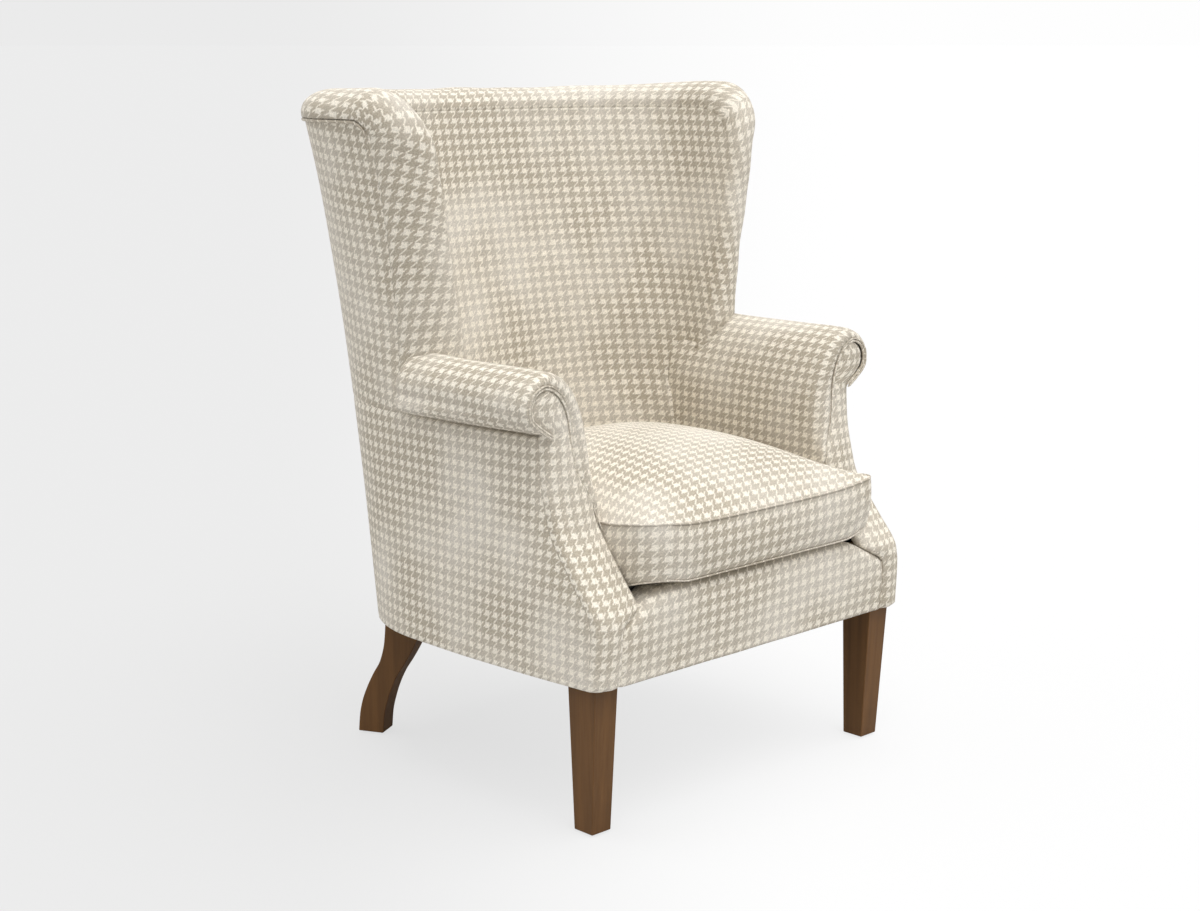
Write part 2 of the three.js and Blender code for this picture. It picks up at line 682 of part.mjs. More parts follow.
// Inside arm: padded inner face that rolls over the top and curls under outside
const innerBends = sCurve.filter((z) => z > padBottom + stationSlack);

function armSection(inset) {
  const face = insideHalf + inset;
  const crest = crestHeight - inset;
  const reach = arm.reach - inset;
  const hidden = insideHalf + arm.padThickness;
  const inner = quarterShares.map((share) => {
    const angle = share * Math.PI / 2;
    return [
      crestAt - (crestAt - face) * Math.cos(angle),
      insideTop + (crest - insideTop) * Math.sin(angle),
    ];
  });
  const middle = (crest + underHeight) / 2;
  const outer = outerRollShares.map((share) => {
    const angle = Math.PI / 2 - share * Math.PI;
    return [crestAt + reach * Math.cos(angle), middle + (crest - middle) * Math.sin(angle)];
  });
  return [
    [face, padBottom], ...innerBends.map((z) => [face, z]), ...inner, ...outer,
    [crestAt, bearingHeight], [hidden, bearingHeight], [hidden, padBottom],
  ];
}

function insideArmSolid(side) {
  const rearY = (z) => Math.min(widestY(z), wing.frontAt) - layerGap;
  const ring = (inset, placeY) => armSection(inset).map(([x, z]) => (
    new THREE.Vector3(side * x, placeY(z), z)
  ));
  return loft([
    ring(arm.edgeRound, armFrontY),
    ring(arm.edgeRound * firstEdgeShare, (z) => armFrontY(z) + arm.edgeDepth * firstEdgeShare),
    ring(0, (z) => armFrontY(z) + arm.edgeDepth),
    ring(0, (z) => (armFrontY(z) + rearY(z)) / 2),
    ring(0, (z) => rearY(z) - arm.edgeDepth / 2),
    ring(arm.edgeRound / 2, rearY),
  ], inFront);
}

// Cloth panels, pads and trim
const outsideSeam = backPost.middle;

for (const [name, side] of sides) {
  addPart(`arm_stump_${name}`, stumpSolid(side), rawWood);
  const stumpRear = armFront.scroll + armFront.padding + 2 * clearance + stump.width;
  const armRailTop = bearingHeight - 2 * clearance;
  addPart(`arm_rail_${name}`, boxFrom(
    side * stumpNear, side * (stumpNear + armRail.width), stumpRear, wing.frontAt - layerGap,
    armRailTop - armRail.thickness, armRailTop,
  ), rawWood);
  addPart(`arm_facing_${name}`, facingSolid(side, 0), cloth);
  const backTool = padSolid(layerGap, hessianDepth - layerGap);
  addPart(`inside_arm_${name}`, cut(
    insideArmSolid(side), facingSolid(side, clearance), wingPostSolid(side, layerGap), backTool,
  ), cloth);
  addPart(`outside_arm_${name}`, sideSlab(side, {
    from: outsideSeam + clearance, to: (z) => acrossAt(facingBackY(z) + clearance, z),
    low: tub.baseHeight, high: tub.seamHeight - clearance, outer: atOutside, inner: atDepth(coverThickness),
    extraLevels: [...tuckLevels.slice(1), toeHeight, ...sCurve],
  }), cloth);
  addPart(`outside_wing_${name}`, sideSlab(side, {
    from: outsideSeam + clearance, to: (z) => wingEnd(z) - clearance,
    low: tub.seamHeight, high: panelTop, outer: atOutside, inner: atDepth(coverThickness),
    extraLevels: cornerLevels,
  }), cloth);
}

addPart('outside_back', tubSlab({
  from: -outsideSeam, to: outsideSeam, low: tub.baseHeight, high: panelTop,
  outer: atOutside, inner: atDepth(coverThickness),
}), cloth);

addPart('back_hessian', tubSlab({
  from: (z) => layerGap - wingPostFront(z), to: (z) => wingPostFront(z) - layerGap,
  low: padBottom, high: frameTopHeight,
  outer: atDepth(hessianDepth), inner: atDepth(hessianDepth + hessianThickness), extraLevels: cornerLevels,
}), blackCloth);

addPart('inside_back', padSolid(0, padDepth), cloth);

// Edge roll: one padded roll up the wing front, round the corner and along the top
const rollTurns = 6;

function rollRing(side, across, height, angle, bulge) {
  const out = tubPoint(side * across, height, atDepth(-wing.overhang * Math.sin(angle)));
  const inside = tubPoint(side * across, height, atInside);
  const push = new THREE.Vector3(0, -Math.cos(angle), Math.sin(angle));
  const ring = [];
  for (let i = 0; i <= rollTurns; i += 1) {
    const turn = (i / rollTurns) * Math.PI;
    const point = out.clone().lerp(inside, (1 - Math.cos(turn)) / 2);
    ring.push(point.addScaledVector(push, 2 * clearance + bulge * Math.sin(turn)));
  }
  return ring;
}

function edgeRollSolid() {
  const half = (side) => {
    const rings = [];
    const straight = levels.filter((z) => z > wingBottom && z < cornerHeight);
    for (const z of [wingBottom, ...straight, cornerHeight]) {
      rings.push(rollRing(side, wingEnd(z), z, 0, wing.bulge));
    }
    cornerPoints.slice(1).forEach(([z], i) => {
      const share = quarterShares[i + 1];
      const bulge = lerp(wing.bulge, topEdge.wingBulge, share);
      rings.push(rollRing(side, wingEnd(z), z, share * Math.PI / 2, bulge));
    });
    for (let station = Math.floor(wingEnd(tub.topHeight) / tub.stationRun); station > 0; station -= 1) {
      const across = station * tub.stationRun;
      const share = smooth(across, topEdge.cheek, tub.quarterRun);
      const bulge = lerp(topEdge.bulge, topEdge.wingBulge, share);
      rings.push(rollRing(side, across, tub.topHeight, Math.PI / 2, bulge));
    }
    return rings;
  };
  const middle = rollRing(1, 0, tub.topHeight, Math.PI / 2, topEdge.bulge);
  return loft([...half(-1), middle, ...half(1).reverse()], inPlan);
}

addPart('edge_roll', edgeRollSolid(), cloth);

// Front border: cloth over the front rail, with a stuffed lip under the cushion
function borderSolid() {
  const front = armFront.hem;
  const back = armFront.railFace;
  const under = railTop - overrun;
  const lipUnder = railTop + lip.rise;
  const sheet = boxFrom(-borderHalf, borderHalf, front, back, tub.baseHeight, railTop - clearance);
  const profile = [
    [front, under],
    ...lipRoundShares.map(([along, down]) => [front + lip.round * along, deckTop - lip.round * down]),
    [lip.back, deckTop], [lip.back, lipUnder], [back, lipUnder], [back, under],
  ];
  const ring = (x) => profile.map(([y, z]) => new THREE.Vector3(x, y, z));
  return join(sheet, loft([ring(-lipHalf), ring(lipHalf)], inSide));
}

addPart('front_border', borderSolid(), cloth);

// Seat: serpentine springs under a padded deck
const springEnd = railTop + clearance + spring.wire / 2;
const deckBottom = deckTop - deck.thickness;
const springCrown = deckBottom - clearance - spring.wire / 2 - springEnd;

function backRailY(x) {
  let near = 0;
  let far = tub.quarterRun;
  const middle = atDepth(coverThickness + layerGap + rail.thickness / 2);
  while (far - near > clearance) {
    const across = (near + far) / 2;
    if (tubPoint(across, railTop, middle).x < Math.abs(x)) near = across;
    else far = across;
  }
  return tubPoint(near, railTop, middle).y;
}

for (let i = 0; i < spring.count; i += 1) {
  const x = (i - (spring.count - 1) / 2) * spring.spacing;
  const start = railFront + rail.thickness / 2;
  const length = backRailY(x) - start;
  const steps = spring.waves * springStepsPerWave;
  const points = Array.from({ length: steps + 1 }, (_, s) => {
    const share = s / steps;
    const swing = spring.amplitude * Math.sin(share * spring.waves * 2 * Math.PI);
    const height = springEnd + springCrown * Math.sin(share * Math.PI);
    return new THREE.Vector3(x + swing, start + length * share, height);
  });
  addPart(`seat_spring_${i + 1}`, tube(points, spring.wire / 2, steps, spring.sides), steel);
}

function deckOutline() {
  const rear = [];
  const farthest = tub.quarterRun - tub.stationRun;
  for (let across = farthest; across >= -farthest; across -= tub.stationRun) {
    const point = tubPoint(across, deckBottom, atDepth(deck.rearDepth));
    rear.push(new THREE.Vector2(clamp(point.x, -deckHalf, deckHalf), point.y));
  }
  const front = lip.back + clearance;
  return [new THREE.Vector2(-deckHalf, front), new THREE.Vector2(deckHalf, front), ...rear];
}

addPart('seat_deck', extruded(deckOutline(), deck.thickness, deckBottom), blackCloth);

// Dust cover under the rails, let in round the legs
function dustCoverSolid() {
  const side = [];
  for (let across = acrossAt(dustCover.frontAt, tub.baseHeight); across > 0; across -= tub.stationRun) {
    side.push(tubPoint(across, tub.baseHeight, atDepth(dustCover.inset)));
  }
  const outline = [...side, ...side.map((p) => new THREE.Vector3(-p.x, p.y, p.z)).reverse()];
  const bottom = legTopHeight - dustCover.thickness;
  const sheet = extruded(outline.map((p) => new THREE.Vector2(p.x, p.y)), dustCover.thickness, bottom);
  const depth = dustCover.thickness + 2 * overrun;
  const room = dustCover.legRoom;
  const holes = sides.flatMap(([, sign]) => {
    const rearCorners = [
      [rearLeg.topFront - room, -room], [rearLeg.topRear + 2 * room, -room],
      [rearLeg.topRear + 2 * room, rearLeg.width + room], [rearLeg.topFront - room, rearLeg.width + room],
    ].map(([along, acrossLeg]) => rearLegPoint(sign, along, acrossLeg, 0));
    const rearHole = extruded(rearCorners.map((p) => new THREE.Vector2(p.x, p.y)), depth, bottom - overrun);
    const frontHole = boxFrom(
      sign * (frontLegOuter - frontLeg.width - room), sign * (frontLegOuter + 2 * overrun),
      frontLeg.front - overrun, frontLeg.front + frontLeg.depth + room, bottom - overrun, bottom + overrun,
    );
    return [rearHole, frontHole];
  });
  return cut(sheet, ...holes);
}

addPart('dust_cover', dustCoverSolid(), blackCloth);

// Piping: round the scrolls and along the outside seam of the top
const pipingRadius = 2;
const pipingSides = 6;
const pipingTurnShare = 0.93;
const pipingCornerShares = [0.2, 0.5, 0.8];

for (const [name, side] of sides) {
  const points = [];
  const proud = clearance + pipingRadius;
  for (const share of quarterShares) {
    const z = lerp(throatHeight, tub.seamHeight, share);
    points.push(new THREE.Vector3(side * (facingNear(z) + proud), armFrontY(z) - proud, z));
  }
  for (const turn of outerRollShares) {
    const angle = turn * Math.PI / 2;
    const z = tub.seamHeight + (facingTop - tub.seamHeight) * Math.sin(angle);
    const x = discAt - (disc.throatWidth - proud) * Math.cos(angle);
    points.push(new THREE.Vector3(side * x, armFront.scroll - proud, z - proud * Math.sin(angle)));
  }
  for (const turn of outerRollShares) {
    const angle = Math.PI / 2 - turn * pipingTurnShare * Math.PI;
    points.push(new THREE.Vector3(
      side * (discAt + (disc.halfWidth - proud) * Math.cos(angle)), armFront.scroll - proud,
      discHeight + (disc.halfHeight - proud) * Math.sin(angle),
    ));
  }
  addPart(`scroll_piping_${name}`, tube(points, pipingRadius, 2 * points.length, pipingSides), cloth);
}

function topPipingPoints() {
  const side = [];
  const offset = atDepth(-pipingRadius - 2 * layerGap);
  const drop = pipingRadius + clearance;
  for (const share of pipingCornerShares) {
    const angle = share * Math.PI / 2;
    const z = cornerHeight + wing.cornerRadius * Math.sin(angle) - drop;
    side.push([wingEnd(z + drop) - drop, z]);
  }
  for (let station = Math.floor(wingEnd(tub.topHeight) / tub.stationRun); station > 0; station -= 1) {
    side.push([station * tub.stationRun, tub.topHeight - drop]);
  }
  const right = side.map(([across, z]) => tubPoint(across, z, offset));
  const middle = tubPoint(0, tub.topHeight - drop, offset);
  return [...right.map((p) => new THREE.Vector3(-p.x, p.y, p.z)), middle, ...right.reverse()];
}

const topPoints = topPipingPoints();
addPart('top_piping', tube(topPoints, pipingRadius, 2 * (topPoints.length - 1), pipingSides), cloth);

// Loose cushion: crowned box cushion with a core and a zip along its rear border
const cushionBack = insidePlan(0, cushionBottom)[1] - cushion.backGap;

function cushionOutline() {
  const shape = new THREE.Shape();
  const { frontAt, cornerRadius } = cushion;
  const rear = [];
  for (let across = tub.quarterRun; across >= -tub.quarterRun; across -= tub.stationRun / 2) {
    const [x, y] = insidePlan(Math.abs(across), cushionBottom);
    const reach = cushionHalf / insideHalf;
    rear.push(new THREE.Vector2(Math.sign(across) * x * reach, Math.min(y - 2 * layerGap, cushionBack)));
  }
  const cornerAt = cushionHalf - cornerRadius;
  shape.moveTo(0, frontAt);
  shape.lineTo(cornerAt, frontAt);
  shape.absarc(cornerAt, frontAt + cornerRadius, cornerRadius, -Math.PI / 2, 0, false);
  for (const point of rear) shape.lineTo(point.x, point.y);
  shape.lineTo(-cushionHalf, frontAt + cornerRadius);
  shape.absarc(-cornerAt, frontAt + cornerRadius, cornerRadius, Math.PI, Math.PI * 1.5, false);
  shape.closePath();
  return shape.getSpacedPoints(cushionAround).slice(0, cushionAround);
}

function cushionSolid(shrink) {
  const outline = cushionOutline();
  const count = outline.length;
  const middle = new THREE.Vector2(0, lerp(cushion.frontAt, cushionBack, crownMiddleShare));
  const inward = outline.map((point, i) => {
    const along = outline[(i + 1) % count].clone().sub(outline[(i + count - 1) % count]).normalize();
    return new THREE.Vector2(-along.y, along.x);
  });
  const lift = outline.map((point) => {
    const nearCorner = Math.abs(point.x) / cushionHalf;
    const inFrontPart = point.y < cushion.frontAt + 2 * cushion.cornerRadius;
    return inFrontPart ? cushion.cornerLift * nearCorner ** cornerLiftShare : 0;
  });
  const bottom = cushionBottom + shrink;
  const seam = cushionSeam - shrink;
  const rings = [];
  const ringAt = (inset, share, heightOf) => rings.push(outline.map((point, i) => {
    const edge = point.clone().addScaledVector(inward[i], inset + shrink).sub(middle);
    const oval = 1 / Math.hypot(edge.x / cushionHalf, edge.y / (middle.y - cushion.frontAt));
    const squared = lerp(Math.min(oval, 1), 1, share ** crownSquareShare);
    const place = edge.multiplyScalar(share * squared).add(middle);
    return new THREE.Vector3(place.x, place.y, heightOf(i));
  }));
  const bump = (share) => 1 - share ** crownFallShare;
  for (let r = 1; r <= cushionRings; r += 1) {
    const share = Math.sin((r / cushionRings) * Math.PI / 2);
    ringAt(cushion.bandBulge, share, (i) => (
      seam + lift[i] * share ** cornerLiftShare + cushion.crown * bump(share)
    ));
  }
  for (const up of borderUpShares) {
    ringAt(0, 1, (i) => lerp(bottom, seam, up) + lift[i] * up);
  }
  ringAt(cushion.bandBulge, 1, (i) => bottom + cushion.bandBulge + lift[i]);
  ringAt(cushion.bandBulge, bottomRingShare, () => bottom);
  const poles = [seam + cushion.crown, bottom].map((z) => new THREE.Vector3(middle.x, middle.y, z));
  const points = [...rings.flat(), ...poles];
  const faces = [];
  for (let r = 0; r + 1 < rings.length; r += 1) {
    for (let i = 0; i < count; i += 1) {
      const a = r * count + i;
      const b = r * count + ((i + 1) % count);
      faces.push([a, a + count, b + count], [a, b + count, b]);
    }
  }
  const last = (rings.length - 1) * count;
  for (let i = 0; i < count; i += 1) {
    const next = (i + 1) % count;
    faces.push([points.length - 2, i, next], [points.length - 1, last + next, last + i]);
  }
  return solidFrom(points, faces);
}

const zipMiddle = (cushionBottom + cushionSeam) / 2;
const zipHalf = cushionHalf * zipLengthShare;
const slit = boxFrom(
  -zipHalf + zip.slit, zipHalf - zip.slit, cushionBack - 3 * overrun, cushionBack + overrun,
  zipMiddle - zip.slit / 2, zipMiddle + zip.slit / 2,
);
addPart('cushion_cover', cut(cushionSolid(0), cushionSolid(cushion.cloth), slit), cloth);
addPart('cushion_core', cushionSolid(cushion.cloth + cushion.coreGap), foam);

const tapeFace = cushionBack + zip.offset;
addPart('zip_tape', boxFrom(
  -zipHalf, zipHalf, tapeFace, tapeFace + zip.thickness,
  zipMiddle - zip.height / 2, zipMiddle + zip.height / 2,
), nylon);
const pullX = zipHalf * (2 * pullPlaceShare - 1);
const pullFace = tapeFace + zip.thickness + clearance;
addPart('zip_slider', boxFrom(
  pullX - zipPull.width / 2, pullX + zipPull.width / 2, pullFace, pullFace + zipPull.thickness,
  zipMiddle - zipPull.height / 2, zipMiddle + zipPull.height / 2,
), steel);

// Origin at the middle of the footprint, on the floor
chair.updateMatrixWorld(true);
const bounds = new THREE.Box3().setFromObject(chair);
chair.position.y = -(bounds.min.y + bounds.max.y) / 2;

export default chair;
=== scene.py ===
import json

import bmesh
import bpy
import numpy as np
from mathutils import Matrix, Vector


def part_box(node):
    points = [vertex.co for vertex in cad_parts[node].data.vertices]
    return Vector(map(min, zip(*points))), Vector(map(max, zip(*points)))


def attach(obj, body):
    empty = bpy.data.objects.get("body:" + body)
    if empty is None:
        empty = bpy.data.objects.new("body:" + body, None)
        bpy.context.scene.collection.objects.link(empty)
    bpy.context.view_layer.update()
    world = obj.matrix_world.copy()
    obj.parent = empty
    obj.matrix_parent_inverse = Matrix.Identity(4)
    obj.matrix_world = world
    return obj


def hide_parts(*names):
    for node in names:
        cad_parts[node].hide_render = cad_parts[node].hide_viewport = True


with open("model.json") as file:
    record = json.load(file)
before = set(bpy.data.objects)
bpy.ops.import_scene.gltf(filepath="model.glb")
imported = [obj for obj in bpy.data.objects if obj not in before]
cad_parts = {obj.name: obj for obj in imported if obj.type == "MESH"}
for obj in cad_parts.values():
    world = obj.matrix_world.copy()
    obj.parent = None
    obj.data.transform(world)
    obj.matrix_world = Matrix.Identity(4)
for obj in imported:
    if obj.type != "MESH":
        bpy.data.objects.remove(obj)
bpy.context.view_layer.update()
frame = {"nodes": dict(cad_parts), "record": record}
scene = bpy.context.scene
pi = np.pi

# Plan of the tub in millimetres, laid out from the line of the front feet
tub = {
    "base": 236, "seam": 600, "roll": 690, "top": 1057, "insideTop": 550,
    "half": 372, "flare": 67, "widest": 350, "widestLean": 145, "back": 648, "backLean": 89,
    "square": 2.5, "squareTop": 2.0, "insideSquare": 2.2, "armBow": 32, "wingBow": 13, "baseBow": 0.56,
    "insideHalf": 259, "insideFlare": 86, "insideBack": 480, "insideLean": 152,
    "skew": 35, "quarter": 480, "backSeam": 312, "wingFront": 395, "wingSeam": 402,
    "corner": 75, "seamCorner": 26, "hemY": -28,
}
feetLine = tub["hemY"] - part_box("front_border")[0][1] * 1000
sitter = np.array([0, 150, 760])
sides = (("Left", -1), ("Right", 1))


def lerp(a, b, share):
    return a + (b - a) * share


def smooth(value, low, high):
    share = np.clip((value - low) / (high - low), 0, 1)
    return share * share * (3 - 2 * share)


def quarterTurn(count):
    return np.linspace(0, pi / 2, count)


# Coordinates spread to the same rows and columns and stacked as points or uv pairs
def together(*parts):
    return np.stack(np.broadcast_arrays(*parts), -1)


# A half and its mirror image, joined where they meet
def bothHalves(half, mirror):
    return np.concatenate([half, (half * mirror)[::-1][1:]])


# Catmull-Rom curve through the points, count samples evenly spaced in parameter
def curveThrough(points, count):
    points = np.asarray(points, float)
    padded = np.vstack([2 * points[0] - points[1], points, 2 * points[-1] - points[-2]])
    place = np.linspace(0, len(points) - 1, count)
    start = np.minimum(place.astype(int), len(points) - 2)
    t = (place - start)[:, None]
    a, b, c, d = (padded[start + k] for k in range(4))
    squared, cubed = 2 * a - 5 * b + 4 * c - d, 3 * b - a - 3 * c + d
    return 0.5 * (2 * b + (c - a) * t + squared * t ** 2 + cubed * t ** 3)


# Values blurred by a bell curve of the given width, cut off at reach
def blurred(values, width, reach):
    bell = np.exp(-0.5 * (np.arange(-reach, reach + 1) / width) ** 2)
    return np.convolve(np.pad(values, reach, mode="edge"), bell / bell.sum(), mode="valid")


# A table of (height, value) pairs, joined by straight lines and then blurred
def softTable(pairs, width):
    heights = np.arange(180.0, 1160.0)
    values = blurred(np.interp(heights, *np.transpose(pairs)), width, int(3 * width))
    return lambda z: np.interp(z, heights, values)


# How far back the front of the arm lies at each height
armFront = softTable([
    (236, -28), (300, -33), (345, -33), (380, -1), (454, 58), (529, 77), (600, 84), (760, 84),
], 12)


def rise(z):
    return np.clip((z - tub["base"]) / (tub["top"] - tub["base"]), 0, 1.05)


def widestY(z):
    return tub["widest"] + tub["widestLean"] * rise(z)


# Distance round the tub, from the middle of the back, that lies at the given y on the side
def acrossAt(y, z):
    return tub["quarter"] + widestY(z) - y


# A quarter of a superellipse from the middle of the back, x = half cos^p, y = widest + depth sin^p,
# which runs straight on forwards, less the inward bow
def wallPoints(across, z, half, widest, back, power, inward=0):
    angle = (1 - np.minimum(np.abs(across), tub["quarter"]) / tub["quarter"]) * pi / 2
    x = half * np.cos(angle) ** power - inward
    y = widest + (back - widest) * np.sin(angle) ** power - aheadOf(across)
    return together(np.sign(across) * x, y, z)


def aheadOf(across):
    return np.maximum(np.abs(across) - tub["quarter"], 0)


def shareOnWing(z):
    return np.clip((z - tub["seam"]) / (tub["roll"] - tub["seam"]), 0, 1)


# Outside of the tub, squarer at the foot; its sides bow in towards the front
def outside(across, z):
    widest, ahead = widestY(z), aheadOf(across)
    upArm = np.clip((z - tub["base"]) / (tub["seam"] - tub["base"]), 0, 1)
    armShare = (ahead / (widest - armFront(np.minimum(z, tub["seam"])))) ** 2
    wingShare = ahead / (widest - tub["wingFront"])
    armBow = tub["armBow"] * lerp(tub["baseBow"], 1, upArm) * armShare
    return wallPoints(
        across, z, tub["half"] + tub["flare"] * rise(z) ** 3, widest, tub["back"] + tub["backLean"] * rise(z),
        2 / lerp(tub["square"], tub["squareTop"], rise(z) ** 3),
        lerp(armBow, tub["wingBow"] * wingShare, shareOnWing(z)),
    )


# Inside of the tub, rounder, which opens towards the top
def inside(across, z):
    flare = np.maximum(0, (z - tub["insideTop"]) / (tub["top"] - tub["insideTop"]))
    return wallPoints(
        across, z, tub["insideHalf"] + tub["insideFlare"] * flare, widestY(z) - tub["skew"] * shareOnWing(z),
        tub["insideBack"] + tub["insideLean"] * rise(z), 2 / tub["insideSquare"],
    )


def toFrame(points):
    return (np.asarray(points) - [0, feetLine, 0]) / 1000


def unit(vectors):
    return vectors / np.maximum(np.linalg.norm(vectors, axis=-1, keepdims=True), 1e-9)


# Normals of a grid from the differences along its rows and columns, turned away from a point
def normalsAway(grid, point, axis=None):
    normals = unit(np.cross(np.gradient(grid, axis=1), np.gradient(grid, axis=0)))
    return normals * np.sign((normals * (grid - point)).sum(axis=axis, keepdims=True))


# Lengths along a line of points, or along one axis of a grid, counted from the start
def lengthsAlong(points, axis=0):
    steps = np.linalg.norm(np.diff(points, axis=axis), axis=-1)
    return np.insert(np.cumsum(steps, axis=axis), 0, 0.0, axis=axis)


# Lengths along the rows of a grid, measured from the given column
def rowLengths(grid, middle):
    lengths = lengthsAlong(grid, 1)
    return lengths - lengths[:, [middle]]


# Low smooth waves, a sum of a few sines with seeded directions
def waves(points, size, seed, height):
    draw = np.random.default_rng(seed)
    total = 0
    for _ in range(5):
        way = unit(draw.normal(size=3)) * 2 * pi / (size * draw.uniform(0.7, 1.5))
        total = total + np.sin(points @ way + draw.uniform(0, 2 * pi))
    return total * height / 3


def gridFaces(rows, columns, closed=False):
    r, c = np.meshgrid(np.arange(rows - 1), np.arange(columns if closed else columns - 1), indexing="ij")
    after = (c + 1) % columns
    upper, lower = r * columns, (r + 1) * columns
    return np.stack([upper + c, upper + after, lower + after, lower + c], -1).reshape(-1, 4)


def linked(name, data):
    made = bpy.data.objects.new(name, data)
    scene.collection.objects.link(made)
    return made


# A mesh from points in metres, a list of faces, and one uv pair for each corner of each face
def meshFrom(name, points, faces, corners=None, smoothed=True):
    mesh = bpy.data.meshes.new(name)
    mesh.from_pydata(points.tolist(), [], faces)
    if corners is not None:
        layer = mesh.uv_layers.new(name="cloth")
        layer.data.foreach_set("uv", np.asarray(corners, np.float32).ravel())
    mesh.polygons.foreach_set("use_smooth", np.full(len(faces), smoothed))
    mesh.update()
    return linked(name, mesh)


def turnOutwards(made):
    work = bmesh.new()
    work.from_mesh(made.data)
    bmesh.ops.recalc_face_normals(work, faces=work.faces)
    work.to_mesh(made.data)
    work.free()


# True where most faces look away from the given point
def looksAway(points, faces, seen):
    a, b, c = (points[faces[:, k]] for k in range(3))
    return (np.cross(b - a, c - a) * (a - seen)).sum() > 0


def finished(made, material, body, nodes=()):
    made.data.materials.append(material)
    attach(made, body)
    if nodes:
        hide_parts(*nodes)


print("stage: materials")


def srgb(red, green, blue):
    values = np.array([red, green, blue]) / 255
    linear = np.where(values <= 0.04045, values / 12.92, ((values + 0.055) / 1.055) ** 2.4)
    return (*linear.tolist(), 1.0)


def put(tree, socket, value):
    if isinstance(value, bpy.types.NodeSocket):
        tree.links.new(value, socket)
    else:
        socket.default_value = value


# Sets or links a node's inputs, each by its name or number
def feed(tree, node, inputs):
    for key, value in dict(inputs).items():
        put(tree, node.inputs[key], value)


def added(tree, kind, inputs=(), **settings):
    made = tree.nodes.new("ShaderNode" + kind)
    for key, value in settings.items():
        setattr(made, key, value)
    feed(tree, made, inputs)
    return made


def calc(tree, operation, *values):
    return added(tree, "Math", enumerate(values), operation=operation).outputs[0]


def vectorCalc(tree, operation, *values):
    return added(tree, "VectorMath", enumerate(values), operation=operation).outputs[0]


def scaled(tree, vector, amount):
    return added(tree, "VectorMath", {0: vector, "Scale": amount}, operation="SCALE").outputs[0]


def blendColours(tree, share, first, second):
    return added(tree, "Mix", {0: share, 6: first, 7: second}, data_type="RGBA").outputs[2]


def noise(tree, vector, scale, detail=2.0, roughness=0.5):
    inputs = {"Vector": vector, "Scale": scale, "Detail": detail, "Roughness": roughness}
    return added(tree, "TexNoise", inputs).outputs


def stretched(tree, value, low, high, toLow=0.0, toHigh=1.0):
    inputs = {"Value": value, "From Min": low, "From Max": high, "To Min": toLow, "To Max": toHigh}
    return added(tree, "MapRange", inputs).outputs[0]


# A node group; an input without a default is a vector, the others are numbers
def group(name, inputs, outputs):
    tree = bpy.data.node_groups.new(name, "ShaderNodeTree")
    for label, value in inputs.items():
        kind = "NodeSocketVector" if value is None else "NodeSocketFloat"
        socket = tree.interface.new_socket(label, in_out="INPUT", socket_type=kind)
        if value is not None:
            socket.default_value = value
    for label in outputs:
        tree.interface.new_socket(label, in_out="OUTPUT", socket_type="NodeSocketFloat")
    return tree, tree.nodes.new("NodeGroupInput").outputs, tree.nodes.new("NodeGroupOutput").inputs


weave = {  # in threads: size of the repeat, middle of the light ones, spacing and places of the bars
    "repeat": 8.0, "lightAt": 6.2, "barEvery": 4.0, "barBelow": 0.0, "barBeside": 2.4,
    "softness": 0.28, "roughness": 19.0,
}


# Houndstooth, eight threads to a repeat. Where both ways are dark it is dark, where
# both are light it is light, and between them run slanting bars, one every 4 threads:
# light where the distance of (across - up) from the middle of a bar is small.
def makeHoundstooth():
    tree, given, out = group("houndstooth", {"Vector": None, "Fuzz": 0.05, "LightThreads": 3.6, "BarWidth": 1.4},
                             ("Dark", "Height"))

    def times(first, second):
        return calc(tree, "MULTIPLY", first, second)

    def minus(first, second):
        return calc(tree, "SUBTRACT", first, second)

    def nearMiddle(value, middle, every, width):
        turned = calc(tree, "FLOORED_MODULO", minus(value, middle - every / 2), every)
        distance = calc(tree, "ABSOLUTE", minus(turned, every / 2))
        return stretched(tree, minus(times(width, 0.5), distance), -weave["softness"], weave["softness"])

    rough = noise(tree, given["Vector"], weave["roughness"], 3.0, 0.75)["Color"]
    shift = scaled(tree, vectorCalc(tree, "SUBTRACT", rough, (0.5, 0.5, 0.5)), given["Fuzz"])
    parts = added(tree, "SeparateXYZ", {0: vectorCalc(tree, "ADD", given["Vector"], shift)}).outputs
    threads = [times(parts[k], weave["repeat"]) for k in range(2)]
    across, up = (nearMiddle(thread, weave["lightAt"], weave["repeat"], given["LightThreads"]) for thread in threads)
    slant = minus(*threads)
    below, beside = (nearMiddle(slant, weave[bar], weave["barEvery"], given["BarWidth"])
                     for bar in ("barBelow", "barBeside"))
    under = times(times(across, minus(1.0, up)), below)
    over = times(times(up, minus(1.0, across)), beside)
    pale = calc(tree, "ADD", times(across, up), calc(tree, "ADD", under, over))
    ridges = [minus(0.5, calc(tree, "ABSOLUTE", minus(calc(tree, "FRACT", thread), 0.5))) for thread in threads]
    put(tree, out["Dark"], minus(1.0, pale))
    put(tree, out["Height"], calc(tree, "ADD", *ridges))
    return tree


# Soft patches that come and go over the surface, and a fine noise of fibres
def makePatches():
    tree, given, out = group("softPatches", {"Vector": None, "Scale": 6.0}, ("Patch", "Fine"))
    broad = noise(tree, given["Vector"], given["Scale"], 2.5)["Fac"]
    put(tree, out["Patch"], stretched(tree, broad, 0.4, 0.68))
    put(tree, out["Fine"], noise(tree, given["Vector"], 430.0, 3.0, 0.7)["Fac"])
    return tree


houndstooth = makeHoundstooth()
softPatches = makePatches()


def newMaterial(name):
    material = bpy.data.materials.new(name)
    material.use_nodes = True
    tree = material.node_tree
    return material, tree, tree.nodes["Principled BSDF"], added(tree, "TexCoord").outputs["Object"]


